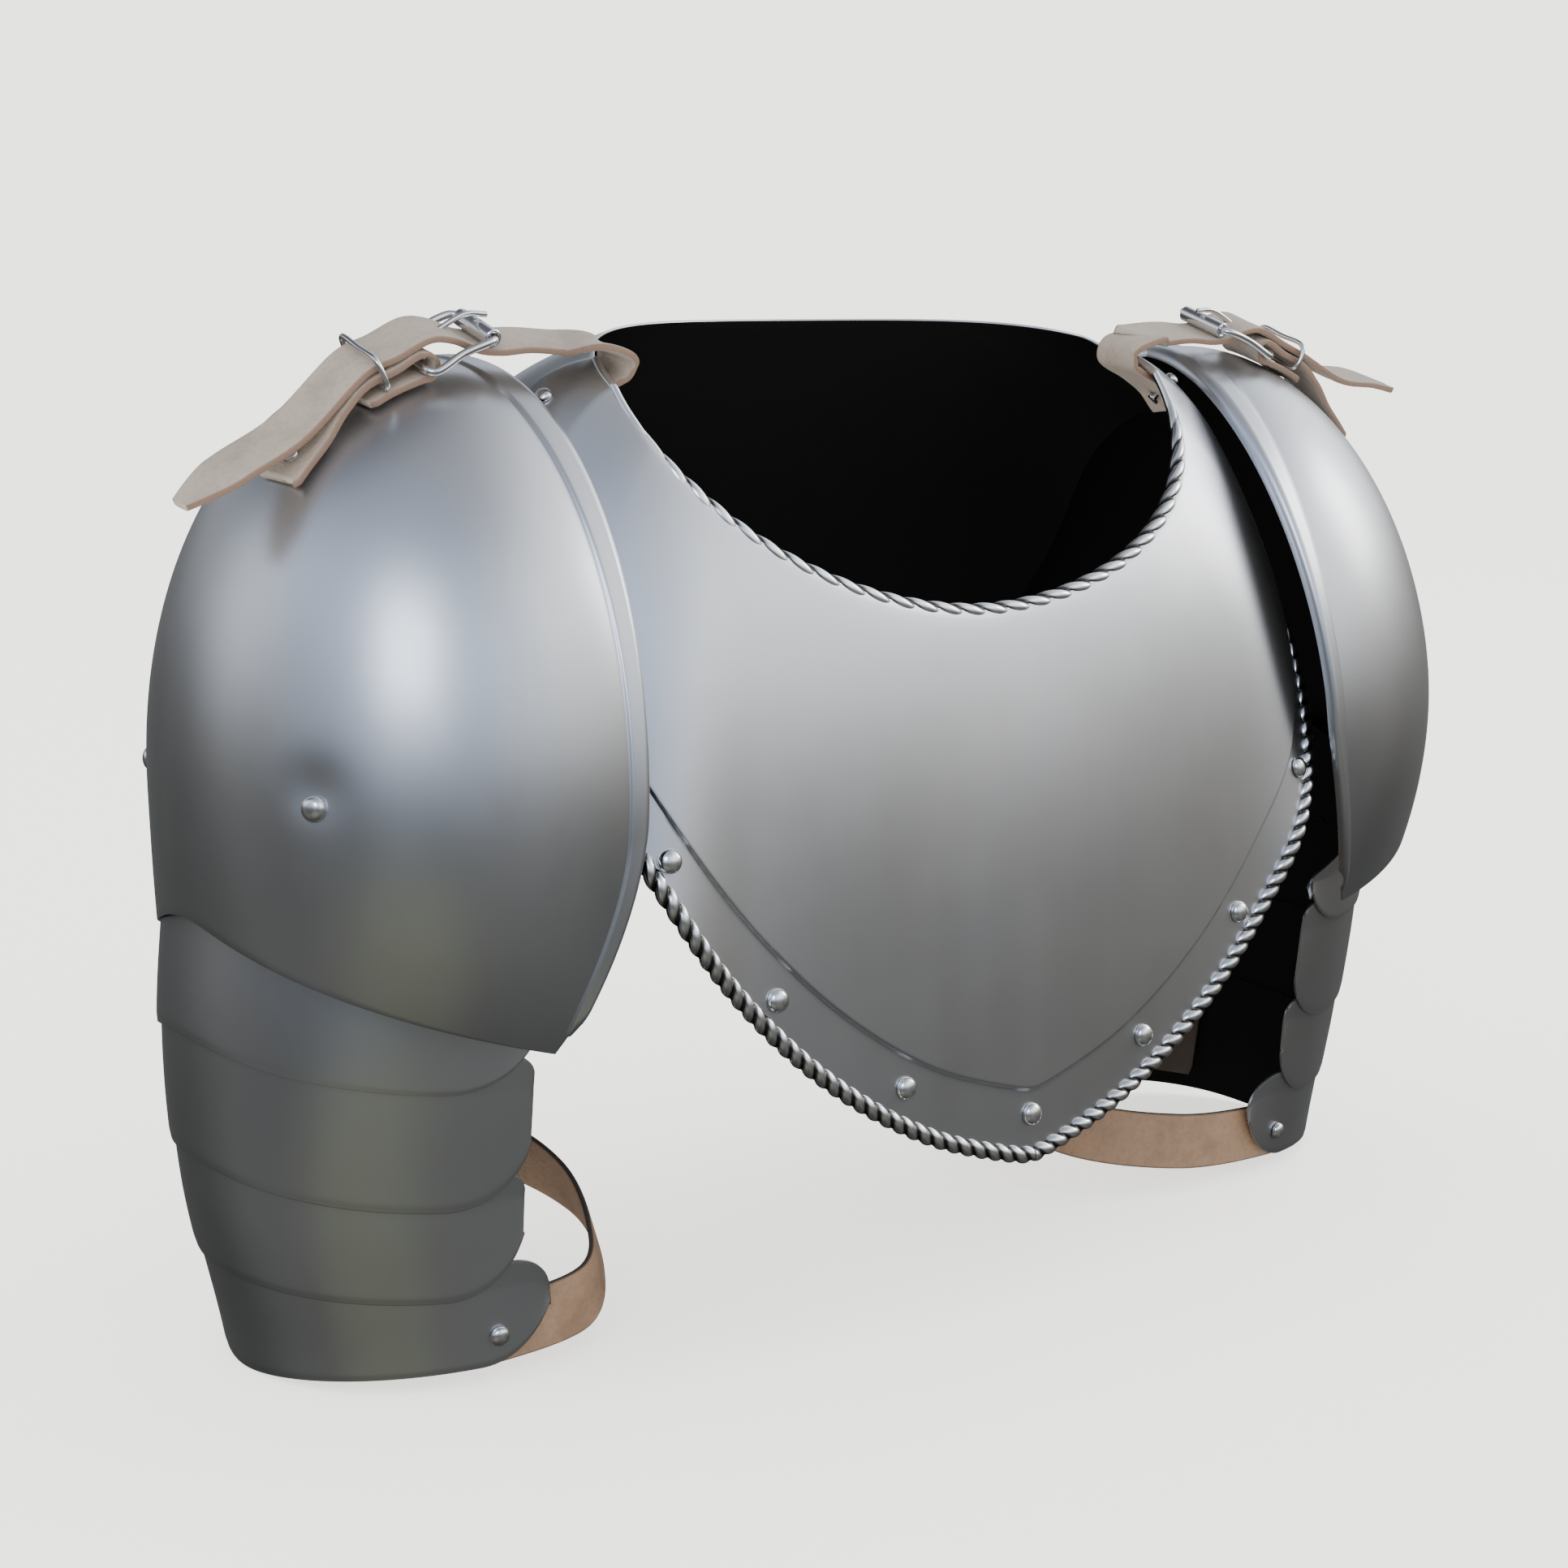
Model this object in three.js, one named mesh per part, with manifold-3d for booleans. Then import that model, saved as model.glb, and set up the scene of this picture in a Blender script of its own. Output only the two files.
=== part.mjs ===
// A polished steel gorget (neck and upper chest plates) with a pair of pauldrons buckled to it.
// Millimetres, +Z up, the wearer faces -Y and the wearer's right arm is on -X.
// The origin is the middle of the neck opening, at the height where the gorget sits on the shoulders.
import * as THREE from 'three';
import { mergeVertices } from 'three/addons/utils/BufferGeometryUtils.js';
import Module from 'manifold-3d';

const wasm = await Module();
wasm.setup();

// ---- Driving dimensions -------------------------------------------------------------------

const PLATE = 1.2;            // sheet steel thickness
const GAP = 0.5;              // clearance between pieces that touch on the real armour

// Gorget neck opening: half width, and the front, shoulder and back points of its rim.
const NECK_HALF_WIDTH = 138;
const NECK_FRONT_Y = -121;
const NECK_FRONT_Z = -33;
const NECK_SHOULDER_Y = -67;
const NECK_SHOULDER_Z = 54;
const NECK_BACK_Y = 8;
const NECK_BACK_Z = 77;
// Outer outline of the gorget, one point for each 15 degrees round from the chest tip to the
// middle of the back: the tip, the lower border, the side corner, the arm side, the shoulder,
// and then the same round the back plate.
const OUTLINE = [
  [0, -149, -247], [50, -147, -229], [95, -145, -201], [132, -142, -166], [161, -138, -126],
  [182, -112, -72], [180, -80, -5], [172, -42, 36], [176, 8, 18], [180, 50, -40],
  [150, 78, -98], [80, 92, -128], [0, 96, -136],
];
const FRONT_PLATE_TO = 104;   // degrees from the chest tip where the front plate ends
const BACK_PLATE_FROM = 97;   // degrees where the back plate starts, underneath the front plate
const LAP = PLATE + 1.0;      // how far the back plate lies below the front plate
const CHEST_BULGE = 9;        // crown of the plates between neckline and outline
const BORDER_WIDTH = 26;      // sunken border along the lower edge
const BORDER_STEP = 2;        // height of the field above the border
const ROPE_RADIUS = 3.8;      // turned and roped edge

// Pauldron dome: an ellipsoid about DOME, leaning forward at the bottom and back at the top.
const DOME = [196, -38, -90];
const DOME_RADIUS = 105;
const DOME_BACK_RADIUS = 114;
const DOME_HEIGHT = 154;
const DOME_DEPTH = 230;
const DOME_TOP_LEAN = 0.085;
const DOME_FOOT_LEAN = 12;
const ARCH_POINT = 1.3;       // above 1 narrows the top of the dome's inner edge
const DOME_FOOT = 90;         // height of the skirt below the widest level
const BAND_WIDTH = 13;        // raised band along the dome's inner edge
const BAND_STEP = 2.2;

// Lames: elliptical bands round the upper arm, each tucked under the one above.
const ARM = [193, -12];
const LAME_LEVELS = [-120, -180, -240, -300, -340];
const LAME_OUT = [102, 105, 99, 84, 75];
const LAME_FRONT = [103, 98, 87, 77, 72];
const LAME_BACK = [78, 77, 75, 71, 68];
const LAME_TUCK = 3.2;        // how far a lame's hidden top lies inside the lame above
const LAME_LAP = 13;          // height of that hidden top
const LAME_CORNER = 28;       // rounded lower corners
// Lower edge of the dome and of each lame: height at the arm's outside, extra height at the
// front and back, and half the angle that the lame spans.
const LAMES = [
  { low: -172, drop: -20, rear: -17, reach: 86 },
  { low: -221, drop: -17, rear: 0, reach: 86 },
  { low: -267, drop: -7, rear: 12, reach: 86 },
  { low: -311, drop: 9, rear: 9, reach: 95 },
];
const DOME_EDGE_LOW = -90 - 34;
const DOME_EDGE_SLOPE = 0.66; // fall of the dome's lower edge for each degree round the arm

// Leather and hardware.
const LEATHER = 3;
const STRAP_WIDTH = 24;
const ARM_STRAP_WIDTH = 25;
const RIVET_HEAD = 4.6;
const SMALL_RIVET_HEAD = 3.4;
const RIVET_SHANK = 1.6;
// Rivets of the lower border: degrees round from the tip, and distance from the edge.
const BORDER_RIVETS = [[0, 16], [19, 14.5], [40, 13], [61, 13.5]];
const WIRE = 1.5;             // radius of the buckle's wire
const TONGUE_WIRE = 1.1;
const ARM_LEATHER_DEPTH = 2.4;
const ARM_STRAP_REACH = { left: 98, right: 131 };   // X of the arm strap's innermost bend
const DOME_RIVET = [89, 66, 8];       // direction of the dome rivet from the dome's middle
const ARM_STRAP_RIVET = { angle: 81, z: -290 };
const HANGER_ANGLE = 38;      // where the hidden leathers run down inside the lames
const HANGER_WIDTH = 20;
const HANGER_DEPTH = 2;
const COLLAR_ANGLE = 99.5;    // where the collar strap crosses the neck rim
const LEAF_RIVET_X = 258;

// ---- Materials ----------------------------------------------------------------------------

const finish = (name, color, roughness, metalness) =>
  new THREE.MeshStandardMaterial({ name, color, roughness, metalness });
const STEEL = finish('polished_steel', 0x9a9ca0, 0.28, 1);
const HARDWARE = finish('hardware_steel', 0xc9cbce, 0.15, 1);
const STRAP = finish('strap_leather', 0xa08c80, 0.7, 0);
const ARM_LEATHER = finish('arm_leather', 0xa9784f, 0.75, 0);

// ---- Tools --------------------------------------------------------------------------------

const V = (x, y, z) => new THREE.Vector3(x, y, z);
const rad = THREE.MathUtils.degToRad;
const mix = THREE.MathUtils.lerp;
const smooth = (x, from, to) => THREE.MathUtils.smoothstep(x, from, to);

// Straight-line look-up in two short lists.
function look(x, xs, ys) {
  let k = 1;
  while (k < xs.length - 1 && (x - xs[k]) * (xs[1] - xs[0]) > 0) k += 1;
  return mix(ys[k - 1], ys[k], (x - xs[k - 1]) / (xs[k] - xs[k - 1]));
}

function fromArrays(points, faces) {
  const geometry = new THREE.BufferGeometry();
  geometry.setAttribute('position', new THREE.Float32BufferAttribute(points.flat(), 3));
  geometry.setIndex(faces.flat());
  return geometry;
}

// A closed sheet: a grid of points, thickened along its own normals from `inner` to `outer`.
function sheet(rows, cols, surface, outer, inner) {
  const mid = [];
  for (let i = 0; i <= rows; i += 1) {
    for (let j = 0; j <= cols; j += 1) mid.push(surface(i, j));
  }
  const at = (i, j) => mid[i * (cols + 1) + j];
  const points = [];
  for (const lift of [outer, inner]) {
    for (let i = 0; i <= rows; i += 1) {
      for (let j = 0; j <= cols; j += 1) {
        const down = at(Math.min(i + 1, rows), j).clone().sub(at(Math.max(i - 1, 0), j));
        const along = at(i, Math.min(j + 1, cols)).clone().sub(at(i, Math.max(j - 1, 0)));
        const normal = down.cross(along).normalize();
        points.push(at(i, j).clone().addScaledVector(normal, lift(i, j)).toArray());
      }
    }
  }
  const count = (rows + 1) * (cols + 1);
  const id = (side, i, j) => side * count + i * (cols + 1) + j;
  const faces = [];
  const quad = (a, b, c, d) => faces.push([a, b, c], [a, c, d]);
  for (let i = 0; i < rows; i += 1) {
    for (let j = 0; j < cols; j += 1) {
      quad(id(0, i, j), id(0, i + 1, j), id(0, i + 1, j + 1), id(0, i, j + 1));
      quad(id(1, i, j), id(1, i, j + 1), id(1, i + 1, j + 1), id(1, i + 1, j));
    }
  }
  for (let j = 0; j < cols; j += 1) {
    quad(id(0, 0, j), id(0, 0, j + 1), id(1, 0, j + 1), id(1, 0, j));
    quad(id(0, rows, j + 1), id(0, rows, j), id(1, rows, j), id(1, rows, j + 1));
  }
  for (let i = 0; i < rows; i += 1) {
    quad(id(0, i + 1, 0), id(0, i, 0), id(1, i, 0), id(1, i + 1, 0));
    quad(id(0, i, cols), id(0, i + 1, cols), id(1, i + 1, cols), id(1, i, cols));
  }
  return fromArrays(points, faces);
}

// The same solid on the other arm: mirrored in X, with each face turned to point out again.
function mirrored(geometry) {
  const copy = geometry.clone();
  copy.scale(-1, 1, 1);
  const index = copy.index.array;
  for (let k = 0; k < index.length; k += 3) {
    [index[k + 1], index[k + 2]] = [index[k + 2], index[k + 1]];
  }
  return copy;
}

const solids = (geometry) => {
  const bare = geometry.clone();
  bare.deleteAttribute('normal');
  bare.deleteAttribute('uv');
  const merged = mergeVertices(bare, 1e-4);
  const vertProperties = new Float32Array(merged.attributes.position.array);
  const triVerts = new Uint32Array(merged.index.array);
  return new wasm.Manifold(new wasm.Mesh({ numProp: 3, vertProperties, triVerts }));
};

function fromSolid(solid) {
  const mesh = solid.getMesh();
  const geometry = new THREE.BufferGeometry();
  geometry.setAttribute('position', new THREE.BufferAttribute(mesh.vertProperties, 3));
  geometry.setIndex(new THREE.BufferAttribute(mesh.triVerts, 1));
  return geometry;
}

// Cuts the clearance holes of the given rivets out of a plate or strap.
function drilled(geometry, rivets) {
  let solid = solids(geometry);
  for (const rivet of rivets) {
    const hole = new THREE.CylinderGeometry(RIVET_SHANK + 0.4, RIVET_SHANK + 0.4, 24, 8);
    hole.applyMatrix4(rivet.frame);
    solid = solid.subtract(solids(hole));
  }
  return fromSolid(solid);
}

// A rivet's frame has +Y along its shank, out of the plate, with its origin under the head.
function rivetFrame(point, normal) {
  const turn = new THREE.Quaternion().setFromUnitVectors(V(0, 1, 0), normal);
  return new THREE.Matrix4().compose(point, turn, V(1, 1, 1));
}

// Domed head, shank and flat inner washer, turned about the shank.
function rivetShape(rivet) {
  const { head, grip } = rivet;
  const profile = [new THREE.Vector2(0, -grip - 1.2), new THREE.Vector2(head * 0.8, -grip - 1.2)];
  profile.push(new THREE.Vector2(head * 0.8, -grip), new THREE.Vector2(RIVET_SHANK, -grip));
  profile.push(new THREE.Vector2(RIVET_SHANK, 0), new THREE.Vector2(head, 0));
  profile.push(new THREE.Vector2(head * 0.72, head * 0.48), new THREE.Vector2(0, head * 0.68));
  return new THREE.LatheGeometry(profile, 8).applyMatrix4(rivet.frame);
}

// A flat strap: a rectangle carried along a smooth route, its width lying along `across`.
function ribbon(route, across, width, thickness, steps) {
  const curve = new THREE.CatmullRomCurve3(route.map((p) => V(...p)), false, 'centripetal');
  const aim = new THREE.CatmullRomCurve3(across.map((p) => V(...p)), false, 'centripetal');
  const points = [];
  for (let i = 0; i <= steps; i += 1) {
    const t = i / steps;
    const forward = curve.getTangentAt(t);
    const side = aim.getPoint(curve.getUtoTmapping(t));
    side.addScaledVector(forward, -side.dot(forward)).normalize();
    const up = side.clone().cross(forward);
    const centre = curve.getPointAt(t);
    const half = width(t) / 2;
    for (const [a, b] of [[-1, -1], [1, -1], [1, 1], [-1, 1]]) {
      const corner = centre.clone().addScaledVector(side, a * half);
      points.push(corner.addScaledVector(up, (b * thickness) / 2).toArray());
    }
  }
  const faces = [];
  const quad = (a, b, c, d) => faces.push([a, b, c], [a, c, d]);
  for (let i = 0; i < steps; i += 1) {
    for (let k = 0; k < 4; k += 1) {
      const a = i * 4 + k;
      const b = i * 4 + ((k + 1) % 4);
      quad(a, a + 4, b + 4, b);
    }
  }
  const last = steps * 4;
  quad(0, 1, 2, 3);
  quad(last + 3, last + 2, last + 1, last);
  return fromArrays(points, faces);
}
// A round wire along a smooth route, closed into a ring or ending in flat caps.
function wire(route, radius, steps, closed = false, taper = 1) {
  const curve = new THREE.CatmullRomCurve3(route.map((p) => V(...p)), closed, 'centripetal');
  const frames = curve.computeFrenetFrames(steps, closed);
  const sides = 6;
  const points = [];
  const rings = closed ? steps : steps + 1;
  for (let i = 0; i < rings; i += 1) {
    const r = radius * mix(1, taper, i / steps);
    for (let k = 0; k < sides; k += 1) {
      const a = (2 * Math.PI * k) / sides;
      const p = curve.getPointAt(i / steps);
      p.addScaledVector(frames.normals[i], r * Math.cos(a));
      points.push(p.addScaledVector(frames.binormals[i], r * Math.sin(a)).toArray());
    }
  }
  const faces = [];
  for (let i = 0; i < (closed ? steps : rings - 1); i += 1) {
    const next = (i + 1) % rings;
    for (let k = 0; k < sides; k += 1) {
      const m = (k + 1) % sides;
      faces.push([i * sides + k, i * sides + m, next * sides + m]);
      faces.push([i * sides + k, next * sides + m, next * sides + k]);
    }
  }
  if (!closed) {
    for (let k = 1; k < sides - 1; k += 1) {
      faces.push([0, k + 1, k]);
      faces.push([(rings - 1) * sides, (rings - 1) * sides + k, (rings - 1) * sides + k + 1]);
    }
  }
  return fromArrays(points, faces);
}

// Unit normal of a two-parameter surface, pointing away from the wearer.
function normalAt(surface, a, b, da, db) {
  const down = surface(a, b + db).sub(surface(a, b - db));
  const along = surface(a + da, b).sub(surface(a - da, b));
  return down.cross(along).normalize();
}

// ---- Gorget -------------------------------------------------------------------------------

// Rim of the neck opening at an angle from the chest (0) round to the middle of the back (180).
function neckRim(angle) {
  const a = Math.abs(angle);
  if (a <= 90) {
    const c = 1 - Math.cos(rad(a));
    const y = mix(NECK_FRONT_Y, NECK_SHOULDER_Y, c ** 1.3);
    return V(NECK_HALF_WIDTH * Math.sin(rad(a)), y, mix(NECK_FRONT_Z, NECK_SHOULDER_Z, c ** 0.95));
  }
  const s = Math.sin(rad(a - 90));
  const z = mix(NECK_SHOULDER_Z, NECK_BACK_Z, 1 - (1 - s) ** 2);
  return V(NECK_HALF_WIDTH * Math.cos(rad(a - 90)), mix(NECK_SHOULDER_Y, NECK_BACK_Y, s), z);
}

const outlineCurve = new THREE.CatmullRomCurve3(OUTLINE.map((p) => V(...p)), false, 'catmullrom', 0.5);

// A point of the gorget: `t` runs from the neck rim (0) to the outline (1).
function gorgetPoint(angle, t) {
  const turn = angle > 180 ? angle - 360 : angle;
  const a = Math.abs(turn);
  const p = neckRim(a).lerp(outlineCurve.getPoint(a / 180), t);
  const crown = V(Math.sin(rad(a)), -Math.cos(rad(a)), 0.35).normalize();
  p.addScaledVector(crown, CHEST_BULGE * Math.sin(Math.PI * Math.max(t, 0) ** 0.8));
  p.x *= turn < 0 ? -1 : 1;
  return p;
}

const gorgetLength = (angle) => {
  const a = angle > 180 ? 360 - angle : Math.abs(angle);
  return neckRim(a).distanceTo(outlineCurve.getPoint(a / 180));
};
const gorgetNormal = (angle, t) => normalAt(gorgetPoint, angle, t, 0.5, 0.01);

// Distances from the neck rim at which the rows of a plate of this length lie.
function gorgetRows(length) {
  const rope = [0, ROPE_RADIUS * 0.8, ROPE_RADIUS * 2];
  const field = [1, 2, 3].map((k) => mix(rope[2], length - BORDER_WIDTH - 3, k / 4));
  const border = [BORDER_WIDTH + 3, BORDER_WIDTH, ROPE_RADIUS * 2, ROPE_RADIUS * 0.8, 0];
  return [...rope, ...field, ...border.map((d) => length - d)];
}
const GORGET_ROWS = 10;
const ROPE_PEAKS = [1, GORGET_ROWS - 1];

function gorgetFront() {
  const cols = 44;
  const angleAt = (j) => mix(-FRONT_PLATE_TO, FRONT_PLATE_TO, j / cols);
  const surface = (i, j) => {
    const length = gorgetLength(angleAt(j));
    const d = gorgetRows(length)[i];
    const sunk = 1 - smooth(Math.abs(angleAt(j)), 74, 90);
    const lift = BORDER_STEP * sunk * smooth(length - d, BORDER_WIDTH, BORDER_WIDTH + 3);
    const p = gorgetPoint(angleAt(j), d / length);
    return p.addScaledVector(gorgetNormal(angleAt(j), d / length), lift);
  };
  // The roped edge fades out before the shoulders.
  const rope = (i, j) => {
    const fade = 1 - smooth(Math.abs(angleAt(j)), 74, 88);
    return ROPE_PEAKS.includes(i) ? (ROPE_RADIUS - PLATE / 2) * fade : 0;
  };
  return sheet(GORGET_ROWS, cols, surface, (i, j) => PLATE / 2 + rope(i, j),
    (i, j) => -PLATE / 2 - 0.6 * rope(i, j));
}

function gorgetBack() {
  const cols = 26;
  const rows = 5;
  const angleAt = (j) => mix(BACK_PLATE_FROM, 360 - BACK_PLATE_FROM, j / cols);
  const surface = (i, j) => {
    const angle = angleAt(j);
    const fromEnd = Math.min(angle, 360 - angle) - FRONT_PLATE_TO;
    const lift = -LAP * (1 - smooth(fromEnd, 2, 12));
    const p = gorgetPoint(angle, i / rows);
    return p.addScaledVector(gorgetNormal(angle, i / rows), lift);
  };
  return sheet(rows, cols, surface, () => PLATE / 2, () => -PLATE / 2);
}

// ---- Pauldron (the wearer's left; the right one is its mirror image) -------------------------

// Pushes a direction out from the dome's middle onto its leaning ellipsoid.
function domeSurface(direction) {
  const { x, y, z } = direction;
  const depth = z > 0 ? DOME_HEIGHT : DOME_DEPTH;
  const round = y > 0 ? DOME_BACK_RADIUS : DOME_RADIUS;
  const p = direction.clone().divideScalar(Math.hypot(x / DOME_RADIUS, y / round, z / depth));
  p.y += p.z > 0 ? DOME_TOP_LEAN * p.z : DOME_FOOT_LEAN * (p.z / DOME_FOOT) ** 2;
  return p.add(V(...DOME));
}

// Inner edge of the dome: up the front, over the shoulder and down the back (s from -1 to 1).
function domeArch(s) {
  const a = Math.abs(s);
  const side = Math.sign(s);
  const round = side > 0 ? DOME_BACK_RADIUS : DOME_RADIUS;
  if (a < 0.72) {
    const turn = rad((90 * a) / 0.72);
    const x = -22 - 6 * Math.sin(2 * turn);
    const y = side * round * 0.98 * Math.sin(turn) ** ARCH_POINT;
    return V(x, y, DOME_HEIGHT * 0.98 * Math.cos(turn));
  }
  const t = (a - 0.72) / 0.28;
  return V(-22 + 23 * t ** 1.3, side * round * 0.98, -78 * t);
}

// Lower edge of the dome, round the outside of the arm from front (-1) to back (1).
function domeFoot(s) {
  const angle = 88 * s;
  const round = s > 0 ? DOME_BACK_RADIUS : DOME_RADIUS;
  const z = DOME_EDGE_LOW - DOME[2] - DOME_EDGE_SLOPE * Math.hypot(angle, 8);
  return V(DOME_RADIUS * Math.cos(rad(angle)), round * Math.sin(rad(angle)), z);
}

// A point of the dome: `t` runs from the inner edge (0) to the lower edge (1) at a steady turn.
function domePoint(s, t) {
  const from = domeArch(s).normalize();
  const to = domeFoot(s).normalize();
  const turn = from.angleTo(to);
  const p = from.multiplyScalar(Math.sin((1 - t) * turn)).addScaledVector(to, Math.sin(t * turn));
  return domeSurface(p);
}
const domeNormal = (s, t) => normalAt(domePoint, s, t, 0.005, 0.01);

function domeLength(s) {
  let length = 0;
  for (let k = 0; k < 8; k += 1) length += domePoint(s, k / 8).distanceTo(domePoint(s, (k + 1) / 8));
  return length;
}

function shoulderDome() {
  const cols = 26;
  const rows = 10;
  const sAt = (j) => mix(-1, 1, j / cols);
  const surface = (i, j) => {
    const length = domeLength(sAt(j));
    const band = Math.min(BAND_WIDTH, length * 0.6);
    const step = Math.min(2.5, length * 0.1);
    const d = [0, band / 2, band, band + step][i] ?? mix(band + step, length, (i - 3) / (rows - 3));
    const lift = i < 3 ? BAND_STEP : 0;
    const p = domePoint(sAt(j), d / length);
    return p.addScaledVector(domeNormal(sAt(j), Math.min(Math.max(d / length, 0.01), 0.99)), lift);
  };
  return sheet(rows, cols, surface, () => PLATE / 2, () => -PLATE / 2);
}

// The upper arm's envelope: a point at an angle round the arm (0 outward, -90 front) and a height.
function armPoint(angle, z, inset = 0) {
  const c = Math.cos(rad(angle));
  const s = Math.sin(rad(angle));
  const out = look(z, LAME_LEVELS, LAME_OUT) - inset;
  const deep = look(z, LAME_LEVELS, s < 0 ? LAME_FRONT : LAME_BACK) - inset;
  return V(ARM[0] + out * c, ARM[1] + deep * s, z);
}
const armNormal = (angle, z) => normalAt((a, t) => armPoint(a, -t), angle, -z, 0.5, 0.5);

function lameEdge(k, angle) {
  const { low, drop, rear } = LAMES[k];
  const back = 0.5 + 0.5 * Math.tanh(Math.sin(rad(angle)) / 0.3);
  return low + mix(drop, rear, back) * Math.hypot(Math.sin(rad(angle)), 0.15);
}
const domeEdge = (angle) => DOME_EDGE_LOW - DOME_EDGE_SLOPE * Math.hypot(angle, 8);

function lame(k) {
  const cols = 16;
  const rows = 4;
  const { reach } = LAMES[k];
  const surface = (i, j) => {
    const angle = mix(-reach, reach, j / cols);
    const top = (k === 0 ? domeEdge(angle) : lameEdge(k - 1, angle)) + LAME_LAP;
    const flat = lameEdge(k, angle);
    const fromEnd = rad(reach - Math.abs(angle)) * LAME_FRONT[2];
    const d = Math.max(0, LAME_CORNER - fromEnd);
    const rise = LAME_CORNER - Math.sqrt(LAME_CORNER ** 2 - Math.min(d, LAME_CORNER - 1) ** 2);
    const low = flat + Math.min(rise, (top - flat) * 0.7);
    const t = i / rows;
    const tuck = LAME_TUCK * (1 - Math.max(0, (t - 0.3) / 0.7));
    return armPoint(angle, mix(top, low, t), tuck);
  };
  return sheet(rows, cols, surface, () => PLATE / 2, () => -PLATE / 2);
}

// ---- Rivets -------------------------------------------------------------------------------

// A rivet through a sheet: `grip` is the thickness under its head, measured from the mid surface.
function rivetAt(point, normal, head, under = PLATE / 2) {
  const clear = GAP + 0.8;
  const seat = point.clone().addScaledVector(normal, PLATE / 2 + clear);
  return { frame: rivetFrame(seat, normal), head, grip: PLATE / 2 + 2 * clear + under };
}

const HANGER_INSET = PLATE / 2 + GAP + 2.6 + HANGER_DEPTH / 2;   // clear of the curved plate

function borderRivets() {
  const rivets = {};
  BORDER_RIVETS.forEach(([angle, fromEdge], k) => {
    const t = 1 - fromEdge / gorgetLength(angle);
    for (const side of angle === 0 ? [1] : [-1, 1]) {
      const name = angle === 0 ? 'tip_rivet' : `${side < 0 ? 'right' : 'left'}_border_rivet_${k}`;
      rivets[name] = rivetAt(gorgetPoint(side * angle, t), gorgetNormal(side * angle, t), RIVET_HEAD);
    }
  });
  return rivets;
}

// One rivet through the front or the back of the dome holds the leather that the lames hang on.
function domeRivet(side) {
  const seat = domeSurface(V(DOME_RIVET[0], side * DOME_RIVET[1], DOME_RIVET[2]));
  const middle = V(DOME[0], DOME[1], seat.z);
  const normal = seat.clone().sub(middle).normalize();
  return rivetAt(seat, normal, RIVET_HEAD, HANGER_INSET + HANGER_DEPTH / 2);
}

const ARM_STRAP_INSET = PLATE / 2 + LAME_TUCK + GAP + 0.4 + ARM_LEATHER_DEPTH / 2;

// One rivet near each end of the last lame holds the arm strap.
function armStrapRivet(side) {
  const { angle, z } = ARM_STRAP_RIVET;
  const seat = armPoint(side * angle, z);
  return rivetAt(seat, armNormal(side * angle, z), RIVET_HEAD, ARM_STRAP_INSET + ARM_LEATHER_DEPTH / 2 + 0.8);
}

// ---- Leathers -----------------------------------------------------------------------------

// A hidden leather from a dome rivet down the inside of the lames, at the front or the back.
function lameHanger(side) {
  const seat = domeSurface(V(DOME_RIVET[0], side * DOME_RIVET[1], DOME_RIVET[2]));
  const inward = V(DOME[0], DOME[1], seat.z).sub(seat).normalize();
  const start = seat.clone().addScaledVector(inward, HANGER_INSET);
  const route = [start.clone().setZ(start.z + 11), start.clone().setZ(start.z - 11)];
  const inset = PLATE / 2 + LAME_TUCK + GAP + 1.4 + HANGER_DEPTH / 2;
  const top = V(0, 0, 1).cross(inward).normalize();
  const across = [top, top];
  for (const z of [-126, -165, -210, -255, -298]) {
    route.push(armPoint(side * HANGER_ANGLE, z, inset));
    across.push(armNormal(side * HANGER_ANGLE, z).cross(V(0, 0, 1)).normalize());
  }
  return ribbon(route.map((p) => p.toArray()), across.map((p) => p.toArray()),
    () => HANGER_WIDTH, HANGER_DEPTH, 14);
}

// The strap that closes round the inside of the arm; `inner` is how near the body it reaches.
function armStrap(inner) {
  const { angle, z } = ARM_STRAP_RIVET;
  const inset = ARM_STRAP_INSET;
  const ends = [-1, 1].map((side) => [armPoint(side * (angle - 8), z, inset),
    armPoint(side * (angle + 1), z, inset + 0.6)]);
  const route = [ends[0][0], ends[0][1], V(mix(193, inner, 0.45), -82, z + 4)];
  route.push(V(inner + 12, -55, z + 11), V(inner, -14, z + 22), V(inner + 14, 28, z + 31));
  route.push(V(mix(193, inner, 0.4), 50, z + 18), ends[1][1], ends[1][0]);
  const across = [0, 0, 0.1, 0.28, 0.3, 0.1, -0.1, 0, 0].map((lean) => [lean, 0, 1]);
  return ribbon(route.map((p) => p.toArray()), across, () => ARM_STRAP_WIDTH, ARM_LEATHER_DEPTH, 30);
}

// ---- Shoulder buckles ---------------------------------------------------------------------
// Everything on top of the shoulder lies along one line, out from the neck, and leans forward.

const strapY = (x) => -49 - 0.03 * (x - 180);
const STRAP_LEAN = V(0, 1, 0.32).normalize();
const onStrap = (x, z, aside = 0) => V(x, strapY(x), z).addScaledVector(STRAP_LEAN, aside);

// Height of the dome under the strap line.
function domeHeight(x) {
  let z = DOME_HEIGHT;
  for (let k = 0; k < 5; k += 1) {
    const y = strapY(x) - DOME[1] - DOME_TOP_LEAN * z;
    z = DOME_HEIGHT * Math.sqrt(1 - ((x - DOME[0]) ** 2 + y ** 2) / DOME_RADIUS ** 2);
  }
  return DOME[2] + z;
}

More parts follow.
